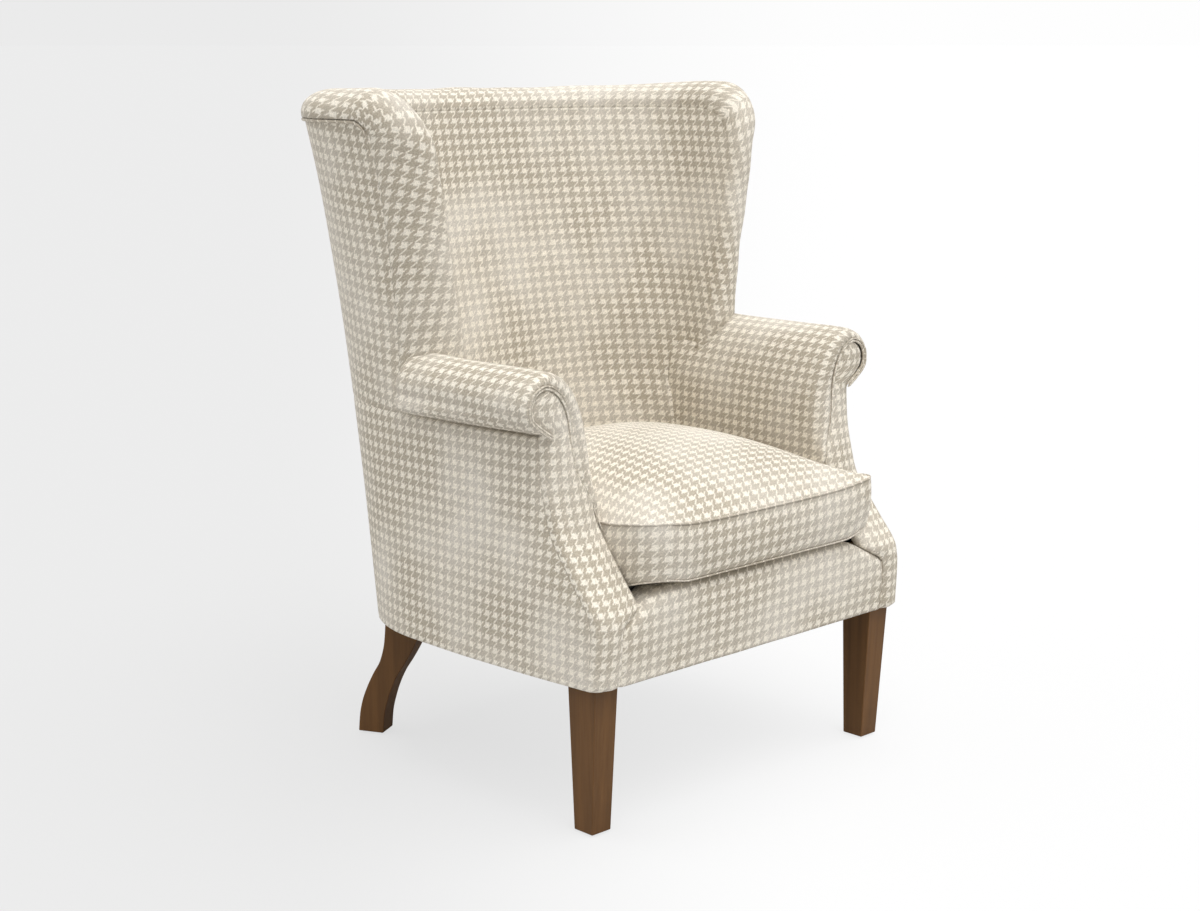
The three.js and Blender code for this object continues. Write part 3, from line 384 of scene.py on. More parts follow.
def bumped(tree, shader, height, strength, distance):
    made = added(tree, "Bump", {"Strength": strength, "Distance": distance, "Height": height})
    put(tree, shader.inputs["Normal"], made.outputs[0])


clothLook = {
    "light": srgb(232, 225, 211), "dark": srgb(178, 168, 151), "faded": srgb(212, 205, 194),
    "fadeMost": 0.8, "patchScale": 6.0, "fuzz": 0.34, "lightThreads": 3.8, "barWidth": 1.15, "speckle": 0.25,
    "roughness": 0.92, "specular": 0.2, "sheen": 0.08, "bump": 0.35, "bumpDepth": 0.0006, "fineBump": 1.5,
}


def makeCloth():
    material, tree, shader, here = newMaterial("checkCloth")
    uv = added(tree, "UVMap", uv_map="cloth").outputs[0]
    check = added(tree, "Group", {
        "Vector": uv, "Fuzz": clothLook["fuzz"], "LightThreads": clothLook["lightThreads"],
        "BarWidth": clothLook["barWidth"],
    }, node_tree=houndstooth).outputs
    patches = added(tree, "Group", {"Vector": here, "Scale": clothLook["patchScale"]}, node_tree=softPatches)
    patch, fine = patches.outputs
    fade = calc(tree, "MULTIPLY", patch, clothLook["fadeMost"])
    dark = blendColours(tree, fade, clothLook["dark"], clothLook["faded"])
    colour = blendColours(tree, check["Dark"], clothLook["light"], dark)
    speck = stretched(tree, fine, 0.3, 0.7, 1 - clothLook["speckle"], 1 + clothLook["speckle"])
    feed(tree, shader, {
        "Base Color": scaled(tree, colour, speck), "Roughness": clothLook["roughness"],
        "Specular IOR Level": clothLook["specular"], "Sheen Weight": clothLook["sheen"],
    })
    height = calc(tree, "ADD", check["Height"], calc(tree, "MULTIPLY", fine, clothLook["fineBump"]))
    bumped(tree, shader, height, clothLook["bump"], clothLook["bumpDepth"])
    return material


woodLook = {
    "light": srgb(112, 77, 40), "dark": srgb(82, 55, 26), "along": 3.0, "across": 70.0, "roughness": 0.55,
}
rawWoodLook = {
    "light": srgb(214, 184, 140), "dark": srgb(176, 138, 94), "along": 4.0, "across": 45.0, "roughness": 0.8,
}


# Grain: noise drawn out along the wood, upright or from side to side, with fine pores on it
def makeWood(name, look, upright=True):
    material, tree, shader, here = newMaterial(name)
    across, along = look["across"], look["along"]
    drawn = vectorCalc(tree, "MULTIPLY", here, (across, across, along) if upright else (along, across, across))
    broad = stretched(tree, noise(tree, drawn, 1.0, 3.0, 0.6)["Fac"], 0.3, 0.7)
    pores = noise(tree, drawn, 5.0, 2.0, 0.6)["Fac"]
    grain = calc(tree, "ADD", calc(tree, "MULTIPLY", broad, 0.7), calc(tree, "MULTIPLY", pores, 0.3))
    feed(tree, shader, {
        "Base Color": blendColours(tree, grain, look["dark"], look["light"]), "Specular IOR Level": 0.3,
        "Roughness": stretched(tree, pores, 0.3, 0.7, look["roughness"] + 0.08, look["roughness"]),
    })
    bumped(tree, shader, grain, 0.15, 0.0005)
    return material


# Two tones in spots of the given scale
def makePlain(name, first, second, scale, roughness, metallic=0.0, bump=0.2):
    material, tree, shader, here = newMaterial(name)
    spots = stretched(tree, noise(tree, here, scale, 3.0, 0.6)["Fac"], 0.35, 0.65)
    feed(tree, shader, {
        "Base Color": blendColours(tree, spots, first, second), "Metallic": metallic,
        "Roughness": stretched(tree, spots, 0.0, 1.0, roughness - 0.06, roughness + 0.06),
    })
    bumped(tree, shader, spots, bump, 0.0004)
    return material


cloth, legWood = makeCloth(), makeWood("legWood", woodLook)
slotLooks = {
    "leg_wood": legWood, "check_cloth": cloth,
    "frame_wood": makeWood("frameWood", rawWoodLook, upright=False),
    "steel": makePlain("steel", srgb(150, 150, 150), srgb(176, 176, 176), 260.0, 0.35, 1.0, 0.08),
    "nylon": makePlain("nylon", srgb(206, 200, 190), srgb(222, 217, 208), 300.0, 0.55),
    "foam": makePlain("foam", srgb(226, 214, 178), srgb(240, 230, 200), 700.0, 0.9, 0.0, 0.6),
    "black_cloth": makePlain("blackCloth", srgb(34, 33, 32), srgb(52, 50, 48), 900.0, 0.9, 0.0, 0.5),
}
for subpart in frame["record"]["subparts"]:
    carried = frame["nodes"][subpart["node"]]
    look = slotLooks[subpart["material_slot"]]
    if carried.material_slots:
        for slotOf in carried.material_slots:
            slotOf.material = look
    else:
        carried.data.materials.append(look)


# Camera, floor and light; angles in degrees
view = {
    "lens": 60.45, "place": (-2.303, -2.0652 - feetLine / 1000, 1.17), "down": 11.56, "turn": -43.81,
}
light = {
    "world": 0.55,
    "suns": [  # strength, soft angle, heading (0 shines along +Y) and height above the floor
        ("key", 1.0, 45, -30, 56),
        ("side", 0.55, 60, -140, 22),
        ("top", 1.95, 60, 38, 75),
    ],
    "left": srgb(235, 235, 235), "right": srgb(254, 254, 254), "sweep": (-0.18, 0.14),
    "floorGlow": 0.8, "floorLit": 0.72, "floorBounce": 0.62, "floorSize": 900.0,
}


def makeCamera():
    camera = bpy.data.cameras.new("camera")
    camera.lens = view["lens"]
    camera.sensor_width = 36
    camera.sensor_fit = "HORIZONTAL"
    scene.camera = linked("camera", camera)
    scene.camera.location = view["place"]
    scene.camera.rotation_euler = (np.radians(90 - view["down"]), 0, np.radians(view["turn"]))


# The backdrop's tone, paler to the right: a fixed fan of directions from the camera's place
def sweepTone(tree, away):
    heading = np.radians(view["turn"])
    ways = ((np.cos(heading), np.sin(heading), 0), (-np.sin(heading), np.cos(heading), 0))
    right, ahead = (added(tree, "VectorMath", {0: away, 1: way}, operation="DOT_PRODUCT").outputs["Value"]
                    for way in ways)
    share = stretched(tree, calc(tree, "DIVIDE", right, calc(tree, "MAXIMUM", ahead, 0.01)), *light["sweep"])
    share.node.interpolation_type = "SMOOTHSTEP"
    return blendColours(tree, share, light["left"], light["right"])


def makeLight():
    for name, strength, soft, heading, height in light["suns"]:
        lamp = bpy.data.lights.new(name, "SUN")
        lamp.energy = strength
        lamp.angle = np.radians(soft)
        linked(name, lamp).rotation_euler = (np.radians(90 - height), 0, np.radians(heading))
    scene.world = bpy.data.worlds.new("studio")
    scene.world.use_nodes = True
    tree = scene.world.node_tree
    tone = sweepTone(tree, added(tree, "TexCoord").outputs["Generated"])
    path = added(tree, "LightPath").outputs
    seen = calc(tree, "MAXIMUM", path["Is Camera Ray"], path["Is Glossy Ray"])
    seen = calc(tree, "MAXIMUM", seen, path["Is Transmission Ray"])
    feed(tree, tree.nodes["Background"], {
        "Color": blendColours(tree, seen, (1, 1, 1, 1), tone),
        "Strength": stretched(tree, seen, 0.0, 1.0, light["world"], 1.0),
    })


# Floor that shows the backdrop's own tone, darkened a little where the chair shades it
def makeFloor():
    size = light["floorSize"]
    points = np.array([(-size, -size, 0), (size, -size, 0), (size, size, 0), (-size, size, 0)])
    floor = meshFrom("floor", points, [[0, 1, 2, 3]], smoothed=False)
    material, tree, shader, here = newMaterial("floor")
    tone = sweepTone(tree, vectorCalc(tree, "SUBTRACT", here, view["place"]))
    path = added(tree, "LightPath").outputs["Is Camera Ray"]
    lit = scaled(tree, tone, stretched(tree, path, 0.0, 1.0, light["floorBounce"], light["floorLit"]))
    mixed = added(tree, "MixShader", {
        0: calc(tree, "MULTIPLY", path, light["floorGlow"]),
        1: added(tree, "BsdfDiffuse", {"Color": lit}).outputs[0],
        2: added(tree, "Emission", {"Color": tone}).outputs[0],
    })
    put(tree, tree.nodes["Material Output"].inputs["Surface"], mixed.outputs[0])
    tree.nodes.remove(shader)
    floor.data.materials.append(material)


scene.view_settings.view_transform = "Standard"
makeCamera()
makeLight()
makeFloor()

print("stage: cloth panels")

repeats = {
    "outside": (17.8, 18.8), "inside": (20.6, 18.0), "arm": (20.0, 18.2),
    "border": (21.2, 19.2), "cushionTop": (21.0, 16.6), "cushionSide": (21.3, 20.6),
}
wall = {"thick": 3.0, "weight": 100}


def inRepeats(lengths, repeat):
    return np.asarray(lengths) / np.array(repeats[repeat])


# A cloth surface from a grid in millimetres; uv holds lengths in millimetres. Strips of
# faces between the rows given as mitres take their uv from the second set of lengths.
def clothPiece(name, grid, uv, repeat, node, seen, away=True, mitres=(), second=None):
    rows, columns = grid.shape[:2]
    points = toFrame(grid.reshape(-1, 3))
    faces = gridFaces(rows, columns)
    if looksAway(points, faces, toFrame(seen)) != away:
        faces = faces[:, ::-1]
    corners = inRepeats(uv, repeat).reshape(-1, 2)[faces]
    for row in mitres:
        strip = slice(row * (columns - 1), (row + 1) * (columns - 1))
        corners[strip] = inRepeats(second, repeat).reshape(-1, 2)[faces[strip]]
    made = meshFrom(name, points, faces.tolist(), corners)
    solid = made.modifiers.new("wall", "SOLIDIFY")
    solid.thickness = wall["thick"] / 1000
    solid.offset = -1
    # The narrow rims don't tilt the normals of the faces beside them
    made.modifiers.new("shading", "WEIGHTED_NORMAL").weight = wall["weight"]
    finished(made, cloth, "chair_frame", [node])
    return made


# Depth of the pull-in along a piece's sewn edges: a bell curve of the distance to the edge
def edgeDip(distance, depth, width):
    return depth * np.exp(-(np.maximum(distance, 0) / width) ** 2)


# Lengths along each row of an outside side panel, from where it crosses a line
# straight up at the given distance back
def lengthsFrom(grid, back):
    lengths = rowLengths(grid, 0)
    way = np.sign(grid[0, -1, 1] - grid[0, 0, 1])
    zero = [np.interp(way * back, way * row[:, 1], line) for row, line in zip(grid, lengths)]
    return lengths - np.array(zero)[:, None]


panel = {
    "dip": 1.9, "dipWidth": 5.0, "settle": 0.8, "settleSize": 170, "quiet": (5, 40), "tuck": 4.0, "over": 5.0,
    "step": 5, "gap": 0.8, "armTop": 624, "columnLine": 250.0, "wingLow": 600.5, "wingLine": 450.0, "wingLean": 0.095,
}


# An outside panel between two lines down the tub, pulled in at its seams, where it runs on for a
# little under the next piece. u runs to the right of someone who looks at the panel from outside.
def outsidePanel(name, start, end, low, high, node, seams, seed, rests, top=None, line=None, lean=0.0):
    over = {key: panel["over"] * (key in seams) for key in ("start", "end", "high")}
    heights = np.linspace(low, high + over["high"], int((high - low) / panel["step"]))
    left, right = (edge(heights) if callable(edge) else np.full_like(heights, edge) for edge in (start, end))
    left, right = left - over["start"], right + over["end"]
    columns = int(np.max(right - left) / panel["step"])
    z = heights[:, None]
    grid = outside(left[:, None] + (right - left)[:, None] * np.linspace(0, 1, columns), z)
    lengths = rowLengths(grid, columns // 2)
    u = -(lengths if line is None else lengthsFrom(grid, line))
    distances = {
        "start": lengths - lengths[:, :1] - over["start"], "end": lengths[:, -1:] - lengths - over["end"],
        "low": z - low, "high": high - z,
    }
    dip = sum(edgeDip(distances[key], panel["dip"], panel["dipWidth"]) for key in seams)
    if top is not None:
        dip = dip + panel["tuck"] * smooth(z, top, top + 3)
    quiet = np.minimum(smooth(distances["start"], *panel["quiet"]), smooth(distances["end"], *panel["quiet"]))
    settle = waves(grid, panel["settleSize"], seed, panel["settle"]) * quiet
    grid = grid + normalsAway(grid, sitter) * (settle - dip)[..., None]
    made = clothPiece(name, grid, together(u, z - np.sign(left[0]) * lean * u), "outside", node, sitter)


facingRound = {"far": 18.0, "near": 14.0, "tight": 2.0, "disc": 6.0, "bulge": 5.0, "under": 9.0}


# Distance round the tub to the front edge of a wing whose top corner has the given radius
def wingEnd(z, radius=tub["corner"], front=tub["wingFront"]):
    up = np.clip((z - tub["top"] + radius) / radius, 0, 1)
    return acrossAt(front, z) - radius * (1 - np.sqrt(1 - up ** 2))


def wingSeam(z):
    return wingEnd(z, tub["seamCorner"], tub["wingSeam"])


def armEnd(z):
    return acrossAt(armFront(np.minimum(z, tub["seam"])) + facingRound["far"], z)


# The two upright edges of a side panel that starts at the back seam
def panelEdges(sign, front):
    back = tub["backSeam"] + panel["gap"]
    return (back, front) if sign > 0 else (lambda z: -front(z), -back)


for side, sign in sides:
    low = side.lower()
    outsidePanel(f"outsideArm{side}", *panelEdges(sign, armEnd), tub["base"], panel["armTop"], f"outside_arm_{low}",
                 ("start", "end"), 3 + sign, [f"arm_rail_{low}", f"side_seat_rail_{low}"],
                 top=tub["seam"], line=panel["columnLine"])
    outsidePanel(f"outsideWing{side}", *panelEdges(sign, wingSeam), panel["wingLow"], tub["top"], f"outside_wing_{low}",
                 ("start", "end", "low", "high"), 8 + sign, [f"wing_post_{low}", f"wing_top_rail_{low}"],
                 line=panel["wingLine"], lean=panel["wingLean"])
outsidePanel("outsideBack", -tub["backSeam"], tub["backSeam"], tub["base"], tub["top"], "outside_back",
             ("start", "end", "high"), 21, ["top_back_rail", "back_post_left", "back_post_right"])

print("stage: inside back and edge roll")

insideBack = {
    "low": 366, "high": 1062.0, "least": 486.0, "over": 5.0, "tuck": 9.0, "sink": 0.7, "wave": 1.6, "foldDepth": 3.2,
    "folds": [  # place, lean to the top, width and share of the depth of each upright fold
        (-235, 26, 16, 1.0), (-150, -18, 30, 0.7), (60, 10, 34, 0.5), (228, -24, 18, 1.0),
    ],
}


# Lining of the barrel: the inside of the tub, less soft upright folds where it turns into the wings
def makeInsideBack():
    heights = np.linspace(insideBack["low"], insideBack["high"], 140)
    end = wingEnd(np.minimum(heights, tub["top"]))
    end = np.where(heights < tub["top"] - tub["corner"], np.maximum(insideBack["least"], end), end)
    end = (end + insideBack["over"])[:, None]
    across, z = end * np.linspace(-1, 1, 211), heights[:, None]
    grid = inside(across, z)
    lengths = rowLengths(grid, across.shape[1] // 2)
    tuck = insideBack["tuck"] * smooth(np.abs(across), 428, 474) * (1 - smooth(z, 600, 690))
    upDown = smooth(z, 430, 560) * (1 - 0.5 * smooth(z, 900, 1040))
    folds = 0
    for place, lean, wide, deep in insideBack["folds"]:
        line = place + lean * (z - 700) / 350
        folds = folds + deep * np.exp(-((lengths - line) / wide) ** 2) * upDown
    left = np.minimum(end - np.abs(across), insideBack["high"] - z) - insideBack["over"]
    seam = insideBack["sink"] * smooth(left, -0.3, -4.5) * smooth(z, 640, 700)
    soft = (waves(grid, 150, 31, insideBack["wave"]) - insideBack["foldDepth"] * folds) * smooth(left, 0, 40)
    grid = grid - normalsAway(grid, sitter) * (soft - tuck - seam)[..., None]
    made = clothPiece("insideBack", grid, together(lengths, z), "inside", "inside_back", sitter, away=False)


makeInsideBack()

edgeRoll = {
    "low": 640, "bulge": 42, "topBulge": 37, "cheekBulge": 47, "overhang": 6, "dip": 1.4, "dipWidth": 5.0,
    "power": 0.85, "around": 30, "straight": 72, "turn": 26, "top": 100, "slope": 0.17, "wave": 1.6,
}


# Distance round the tub, height and turn of the front edge: up, round the corner, then along the top
def edgePath(radius, front):
    straight = np.linspace(edgeRoll["low"], tub["top"] - radius, edgeRoll["straight"])
    turn = quarterTurn(edgeRoll["turn"])[1:]
    z = np.concatenate([straight, tub["top"] - radius * (1 - np.sin(turn))])
    run = wingEnd(z, radius, front)
    top = np.linspace(run[-1], 0, edgeRoll["top"])[1:]
    angle = np.concatenate([0 * straight, turn, 0 * top + pi / 2])
    return np.concatenate([run, top]), np.concatenate([z, 0 * top + tub["top"]]), angle


# One roll up the front of each wing, round its corner and along the top.
# Each ring is half a squared ellipse from the outside panel to the inside one.
def rollHalf():
    run, z, angle = edgePath(tub["corner"], tub["wingFront"])
    outerRun, outerZ, _ = edgePath(tub["seamCorner"], tub["wingSeam"])
    onTop = 1 - smooth(run, 180, 480)
    bulge = lerp(edgeRoll["bulge"], edgeRoll["cheekBulge"], np.sin(angle))
    bulge = np.where(angle >= pi / 2 - 1e-6, lerp(edgeRoll["cheekBulge"], edgeRoll["topBulge"], onTop), bulge)
    outer, inner = outside(outerRun, outerZ), inside(run, z)
    outer = outer + unit((outer - inner) * [1, 1, 0]) * (edgeRoll["overhang"] * np.sin(angle))[:, None]
    push = together(0, -np.cos(angle), np.sin(angle))
    around = np.linspace(0, pi, edgeRoll["around"] + 1)
    height = np.sin(around) ** edgeRoll["power"]
    grid = lerp(outer[:, None], inner[:, None], ((1 - np.cos(around)) / 2)[None, :, None])
    grid = grid + push[:, None] * (bulge[:, None] * height)[..., None]
    # The check runs on from the inside back and is mitred at the corner
    lengths = -rowLengths(grid, -1)
    steps = np.linspace(0, 1, 300)[None] * run[:, None]
    reach = lengthsAlong(inside(steps, z[:, None]), 1)[:, -1]
    edge = together(reach, z)[:, None]
    onWing = edge + lengths[..., None] * [1.0, edgeRoll["slope"]]
    onCrest = edge + lengths[..., None] * [0.0, 1.0]
    mitre = int(np.sum(angle <= pi / 4)) - 1
    return grid, np.concatenate([onWing[:mitre + 1], onCrest[mitre + 1:]]), lengths, mitre, onWing


def makeEdgeRoll():
    half, uv, lengths, mitre, onWing = rollHalf()
    grid, lengths = bothHalves(half, [-1, 1, 1]), bothHalves(lengths, 1)
    fromOuter = lengths[:, :1] - lengths
    dip = edgeDip(fromOuter, edgeRoll["dip"], edgeRoll["dipWidth"])
    settle = waves(grid, 110, 47, edgeRoll["wave"]) * (smooth(lengths, 0, 25) * smooth(fromOuter, 0, 25))
    normals = normalsAway(grid, grid.mean(axis=1, keepdims=True), (1, 2))
    made = clothPiece("edgeRoll", grid + normals * (settle - dip)[..., None], bothHalves(uv, [-1, 1]), "inside",
                      "edge_roll", (0, 480, 900), mitres=(mitre, len(grid) - 2 - mitre),
                      second=bothHalves(onWing, [-1, 1]))


makeEdgeRoll()

print("stage: arms")

# Section of the rolled arm and the outline of its facing, matched point by point (x, z)
armSection = [
    (259, 366), (258.6, 410), (258.4, 450), (258.6, 500), (259.2, 547), (262, 590), (270.8, 627), (287, 662),
    (309, 686), (340, 698), (367, 691), (386, 674), (395, 652), (390, 629), (374, 613), (352, 605.5),
    (342, 603.5), (334, 602),
]
facingOutline = [
    (259.5, 366), (259.5, 410), (261, 450), (274, 500), (295, 547), (301, 590), (306, 622), (315, 646),
    (330, 665), (350, 675), (368, 670), (378, 658), (380.5, 644), (377, 631), (363, 619), (347, 608),
    (342, 605), (337, 602.5),
]
armRoll = {
    "rounding": 20.0, "noseDepth": 12, "noseCurve": 0.9, "swell": 5.0, "sewn": 1.2,
    "rearInner": 432, "rearOuter": 394, "rearRound": 20.0, "rearTuck": 2.5, "hub": (352.0, 650.0), "pinch": 0.5,
    "panelFront": 349.0, "underLevel": 603.0, "follow": 0.85, "wave": 1.4, "drag": 0.7, "checkLevel": 500,
}


# The roll's underside keeps to the outside panel as the tub widens towards the back
def underShift(y, section):
    level = armRoll["underLevel"]
    wider = outside(acrossAt(y, level), level)[..., 0] - armRoll["panelFront"]
    onUnder = smooth(section[:, 1], 640, 606) * (section[:, 0] > 330)
    return np.maximum(wider, 0)[..., None] * onUnder * armRoll["follow"]


# Inside arm and roll: the section carried back. At the front it comes in by a quarter turn
# to the facing's outline, and at the rear the roll's outer half shrinks towards its hub.
def makeInsideArm(side, sign):
    section, target = curveThrough(armSection, 150), curveThrough(facingOutline, 150)
    front = armFront(section[:, 1])
    onOuter = smooth(section[:, 0], 330, 352) * (section[:, 1] > 600)
    rear = lerp(armRoll["rearInner"], armRoll["rearOuter"], onOuter)
    turn = quarterTurn(14)[:, None]
    deep = np.minimum(1.0, np.linalg.norm(section - target, axis=1) / armRoll["noseDepth"])
    x, z = (lerp(target[:, k], section[:, k], np.sin(turn) ** armRoll["noseCurve"]) for k in range(2))
    y = front + armRoll["rounding"] * (1 - np.cos(turn)) - armRoll["swell"] * deep * np.sin(2 * turn)
    y = y + armRoll["sewn"] * (1 - smooth(turn, 0, 0.35))
    y = lerp(front + facingRound["near"] + 0 * turn, y, deep)
    nose = together(x, y, z)
    y = lerp(y[-1], rear, np.linspace(0, 1, 66)[1:, None])
    left = np.clip((rear - y) / armRoll["rearRound"], 0, 1)
    pinch = armRoll["pinch"] * (1 - np.sqrt(np.clip(1 - (1 - left) ** 2, 0, 1))) * onOuter
    x, z = (lerp(section[:, k], armRoll["hub"][k], pinch) for k in range(2))
    grid = np.concatenate([nose, together(x, y, z)])
    lower = np.arange(len(section)) > np.argmax(section[:, 0])
    grid[..., 0] += underShift(grid[:, 75, 1], section) * lower
    y, z = grid[..., 1], grid[..., 2]
    quiet = smooth(np.arange(len(grid)), 10, 24)[:, None]
    # Soft drag lines where the cover is pulled round the front of the roll
    drag = armRoll["drag"] * np.sin(y / 13 + 3 * np.sin(z / 40)) * smooth(z, 600, 660) * smooth(y, 170, 100)
    push = (waves(grid, 120, 60 + sign, armRoll["wave"]) + drag) * quiet
    push = push - armRoll["rearTuck"] * smooth(y, 408, 430) * smooth(section[:, 1], 640, 500)
    grid = (grid + normalsAway(grid, [320, 240, 600]) * push[..., None]) * [sign, 1, 1]
    columns, lengths = lengthsAlong(section), lengthsAlong(grid)
    zero = columns[np.argmin(np.abs(section[:, 1] - armRoll["checkLevel"]))] - armRoll["checkLevel"]
    uv = together(sign * (lengths[-1] - lengths - rear), columns - zero)
    made = clothPiece(f"insideArm{side}", grid, uv, "arm", f"inside_arm_{side.lower()}", (sign * 325, 240, 600))


nearEdge = softTable([
    (236, 305.6), (320, 305.6), (330, 298), (338, 280), (346, 264), (354, 259.4), (450, 260), (500, 273),
    (547, 295), (590, 301), (622, 306), (646, 315), (665, 330), (674, 346), (676, 350),
], 3.5)
farDisc = softTable([
    (600, 347), (607, 348), (613, 356), (619, 364), (631, 376.5), (644, 380), (657, 378), (668, 369), (674, 356),
    (676, 351),
], 2.5)
facing = {
    "discTop": 75.4, "hemTurn": 4, "rearX": [0.3, -1.8], "rearY": [0.45, 1.0], "nearShare": 0.7, "wave": 0.9,
}


# The outside panel's edge below the seam, the scroll's disc above it
def farEdge(z):
    below = np.minimum(z, tub["seam"])
    edge = outside(armEnd(below), below)[..., 0]
    return np.where(z <= 602, edge, np.maximum(farDisc(z), np.minimum(edge, 348)))


# Length along the arm's hem from the panel's column line to the facing
def hemToFacing():
    y = np.linspace(panel["columnLine"], armFront(tub["base"]) + facingRound["far"], 30)
    return lengthsAlong(outside(acrossAt(y, tub["base"]), tub["base"]))[-1]


# Front of the arm: a pillowed leaf with a round outer edge, closed at the top of the scroll.
# Each row is a quarter circle, a sine of low height and another quarter circle.
def makeFacing(side, sign):
    heights = np.concatenate([
        np.linspace(tub["base"], tub["seam"], 92), tub["seam"] + facing["discTop"] * np.sin(quarterTurn(34)[1:]),
    ])
    z = heights[:, None]
    near, far = nearEdge(z), farEdge(z)
    wide = np.maximum(far - near, 0.5)
    onDisc = smooth(z, 590, 612)
    bare = smooth(z, 322, 342) * (1 - smooth(z, 455, 500))
    nearRound = np.minimum(lerp(facingRound["tight"], facingRound["near"], bare), wide / 3)
    farRound = np.minimum(lerp(facingRound["far"], facingRound["disc"], onDisc), wide / 3)
    turn = quarterTurn(9)[None]
    middle = np.linspace(0, 1, 24)[None, 1:-1]
    under = facingRound["under"]
    x = np.concatenate([
        near + 0.4, near + nearRound * (1 - np.cos(turn)), lerp(near + nearRound, far - farRound, middle),
        far - farRound + farRound * np.sin(turn), far + facing["rearX"],
    ], 1)
    y = np.concatenate([
        nearRound + under * facing["nearShare"], nearRound * (1 - np.sin(turn)),
        -facingRound["bulge"] * np.sin(pi * middle) * np.minimum(1, wide / 60),
        farRound * (1 - np.cos(turn)), farRound + np.array(facing["rearY"]) * under,
    ], 1) + armFront(z)
    # The hem turns under the rail
    grid = together(x, y + facing["hemTurn"] * smooth(z, tub["base"] + 4, tub["base"]), z)
    lengths = rowLengths(grid, x.shape[1] - 3)
    steps = lengthsAlong(together(heights, armFront(heights)))[:, None] + tub["base"]
    quiet = smooth(-lengths, 5, 25) * smooth(lengths - lengths[:, :1], 5, 20)
    grid = grid + (waves(grid, 90, 70 + sign, facing["wave"]) * quiet)[..., None] * [0, 1, 0]
    made = clothPiece(f"armFacing{side}", grid * [sign, 1, 1], together(-sign * (hemToFacing() - lengths), steps),
                      "outside", f"arm_facing_{side.lower()}", (sign * 325, 240, 420))


# A round cord carried along a path, closed by a point at each end; up is the
# direction that its turn is measured from
def cordAlong(name, path, up, radius, nodes, body="chair_frame", repeat="arm", around=10):
    tangent = unit(np.gradient(path, axis=0))
    first = unit(up - (up * tangent).sum(-1, keepdims=True) * tangent)[:, None]
    second = np.cross(tangent, first[:, 0])[:, None]
    turn = np.linspace(0, 2 * pi, around, endpoint=False)[None, :, None]
    radius = np.broadcast_to(radius, len(path))[:, None, None]
    grid = path[:, None] + (first * np.cos(turn) + second * np.sin(turn)) * radius
    points = np.concatenate([grid.reshape(-1, 3), path[:1], path[-1:]])
    faces = gridFaces(len(path), around, closed=True)
    row, column = np.divmod(np.arange(len(faces)), around)
    length, step = lengthsAlong(path), 2 * pi * radius.mean() / around
    u = np.stack([length[row], length[row], length[row + 1], length[row + 1]], -1)
    v = np.stack([column, column + 1, column + 1, column], -1) * step
    caps = []
    for start, pole in ((0, len(points) - 2), (len(points) - 2 - around, len(points) - 1)):
        ring = start + np.arange(around)
        caps += together(ring, np.roll(ring, -1), pole).tolist()
    corners = np.concatenate([inRepeats(together(u, v), repeat).reshape(-1, 2), np.zeros((3 * len(caps), 2))])
    made = meshFrom(name, toFrame(points), faces.tolist() + caps, corners)
    turnOutwards(made)
    finished(made, cloth, body, nodes)


# Radius of a cord along its length, which thins to a least share between the places given
def thinned(radius, count, start, end, least=0.3):
    place = np.arange(count)
    return radius * lerp(least, 1, np.minimum(smooth(place, *start), smooth(place, *end)))


upwards, forwards = np.array([0.0, 0.0, 1.0]), np.array([0.0, -1.0, 0.0])
scrollPiping = {
    "radius": 2.1, "away": 0.6, "proud": 1.5, "count": 130, "spread": 45, "end": (134, 118), "startBack": 3,
    "rows": [  # distance from the first row, set back, where it starts, and share of the radius there
        (0.0, 0.0, (-6, 34), 0.3),
        (4.1, 1.2, (38, 76), 0.1),
    ],
}


# Double piping round the scroll and down the facing's inner edge, where it thins to nothing
def makeScrollPiping(side, sign):
    count = scrollPiping["count"]
    outline = curveThrough(facingOutline[2:], count)
    along = unit(np.gradient(outline, axis=0))
    normal = together(-along[:, 1], along[:, 0])
    spread = smooth(np.arange(count), 0, scrollPiping["spread"])
    for number, (gap, setBack, start, least) in enumerate(scrollPiping["rows"]):
        line = outline + normal * (scrollPiping["away"] + gap) * spread[:, None]
        y = armFront(line[:, 1]) - scrollPiping["proud"] + (1 - spread) * scrollPiping["startBack"] - setBack
        cordAlong(f"scrollPiping{side}{number + 1}", together(sign * line[:, 0], y, line[:, 1]), forwards,
                  thinned(scrollPiping["radius"], count, start, scrollPiping["end"], least),
                  [] if number else [f"scroll_piping_{side.lower()}"])


rollWelt = {"radius": 1.7, "level": 604.5, "proud": 8.0, "drop": 0.4, "front": 100.0, "rear": 388.0, "count": 90}


# Welt where the rolled arm's underside comes down on the outside panel
def makeRollWelt(side, sign):
    count = rollWelt["count"]
    y = np.linspace(rollWelt["front"], rollWelt["rear"], count)
    x = outside(acrossAt(y, rollWelt["level"]), rollWelt["level"])[:, 0] + rollWelt["proud"]
    section = curveThrough(armSection, 150)
    under = section[np.argmax(section[:, 0]):][::-1]
    level = [np.interp(place, under[:, 0] + move, under[:, 1]) for place, move in zip(x, underShift(y, under))]
    cordAlong(f"rollWelt{side}", together(x * sign, y, np.array(level) - rollWelt["drop"]), upwards,
              thinned(rollWelt["radius"], count, (-6, 10), (count + 4, count - 10)), [], around=8)


for side, sign in sides:
    makeInsideArm(side, sign)
    makeRollWelt(side, sign)
    makeFacing(side, sign)
    makeScrollPiping(side, sign)

topPiping = {"radius": 2.6, "drop": 4.0, "proud": 3.2, "firstTurn": 0.25}


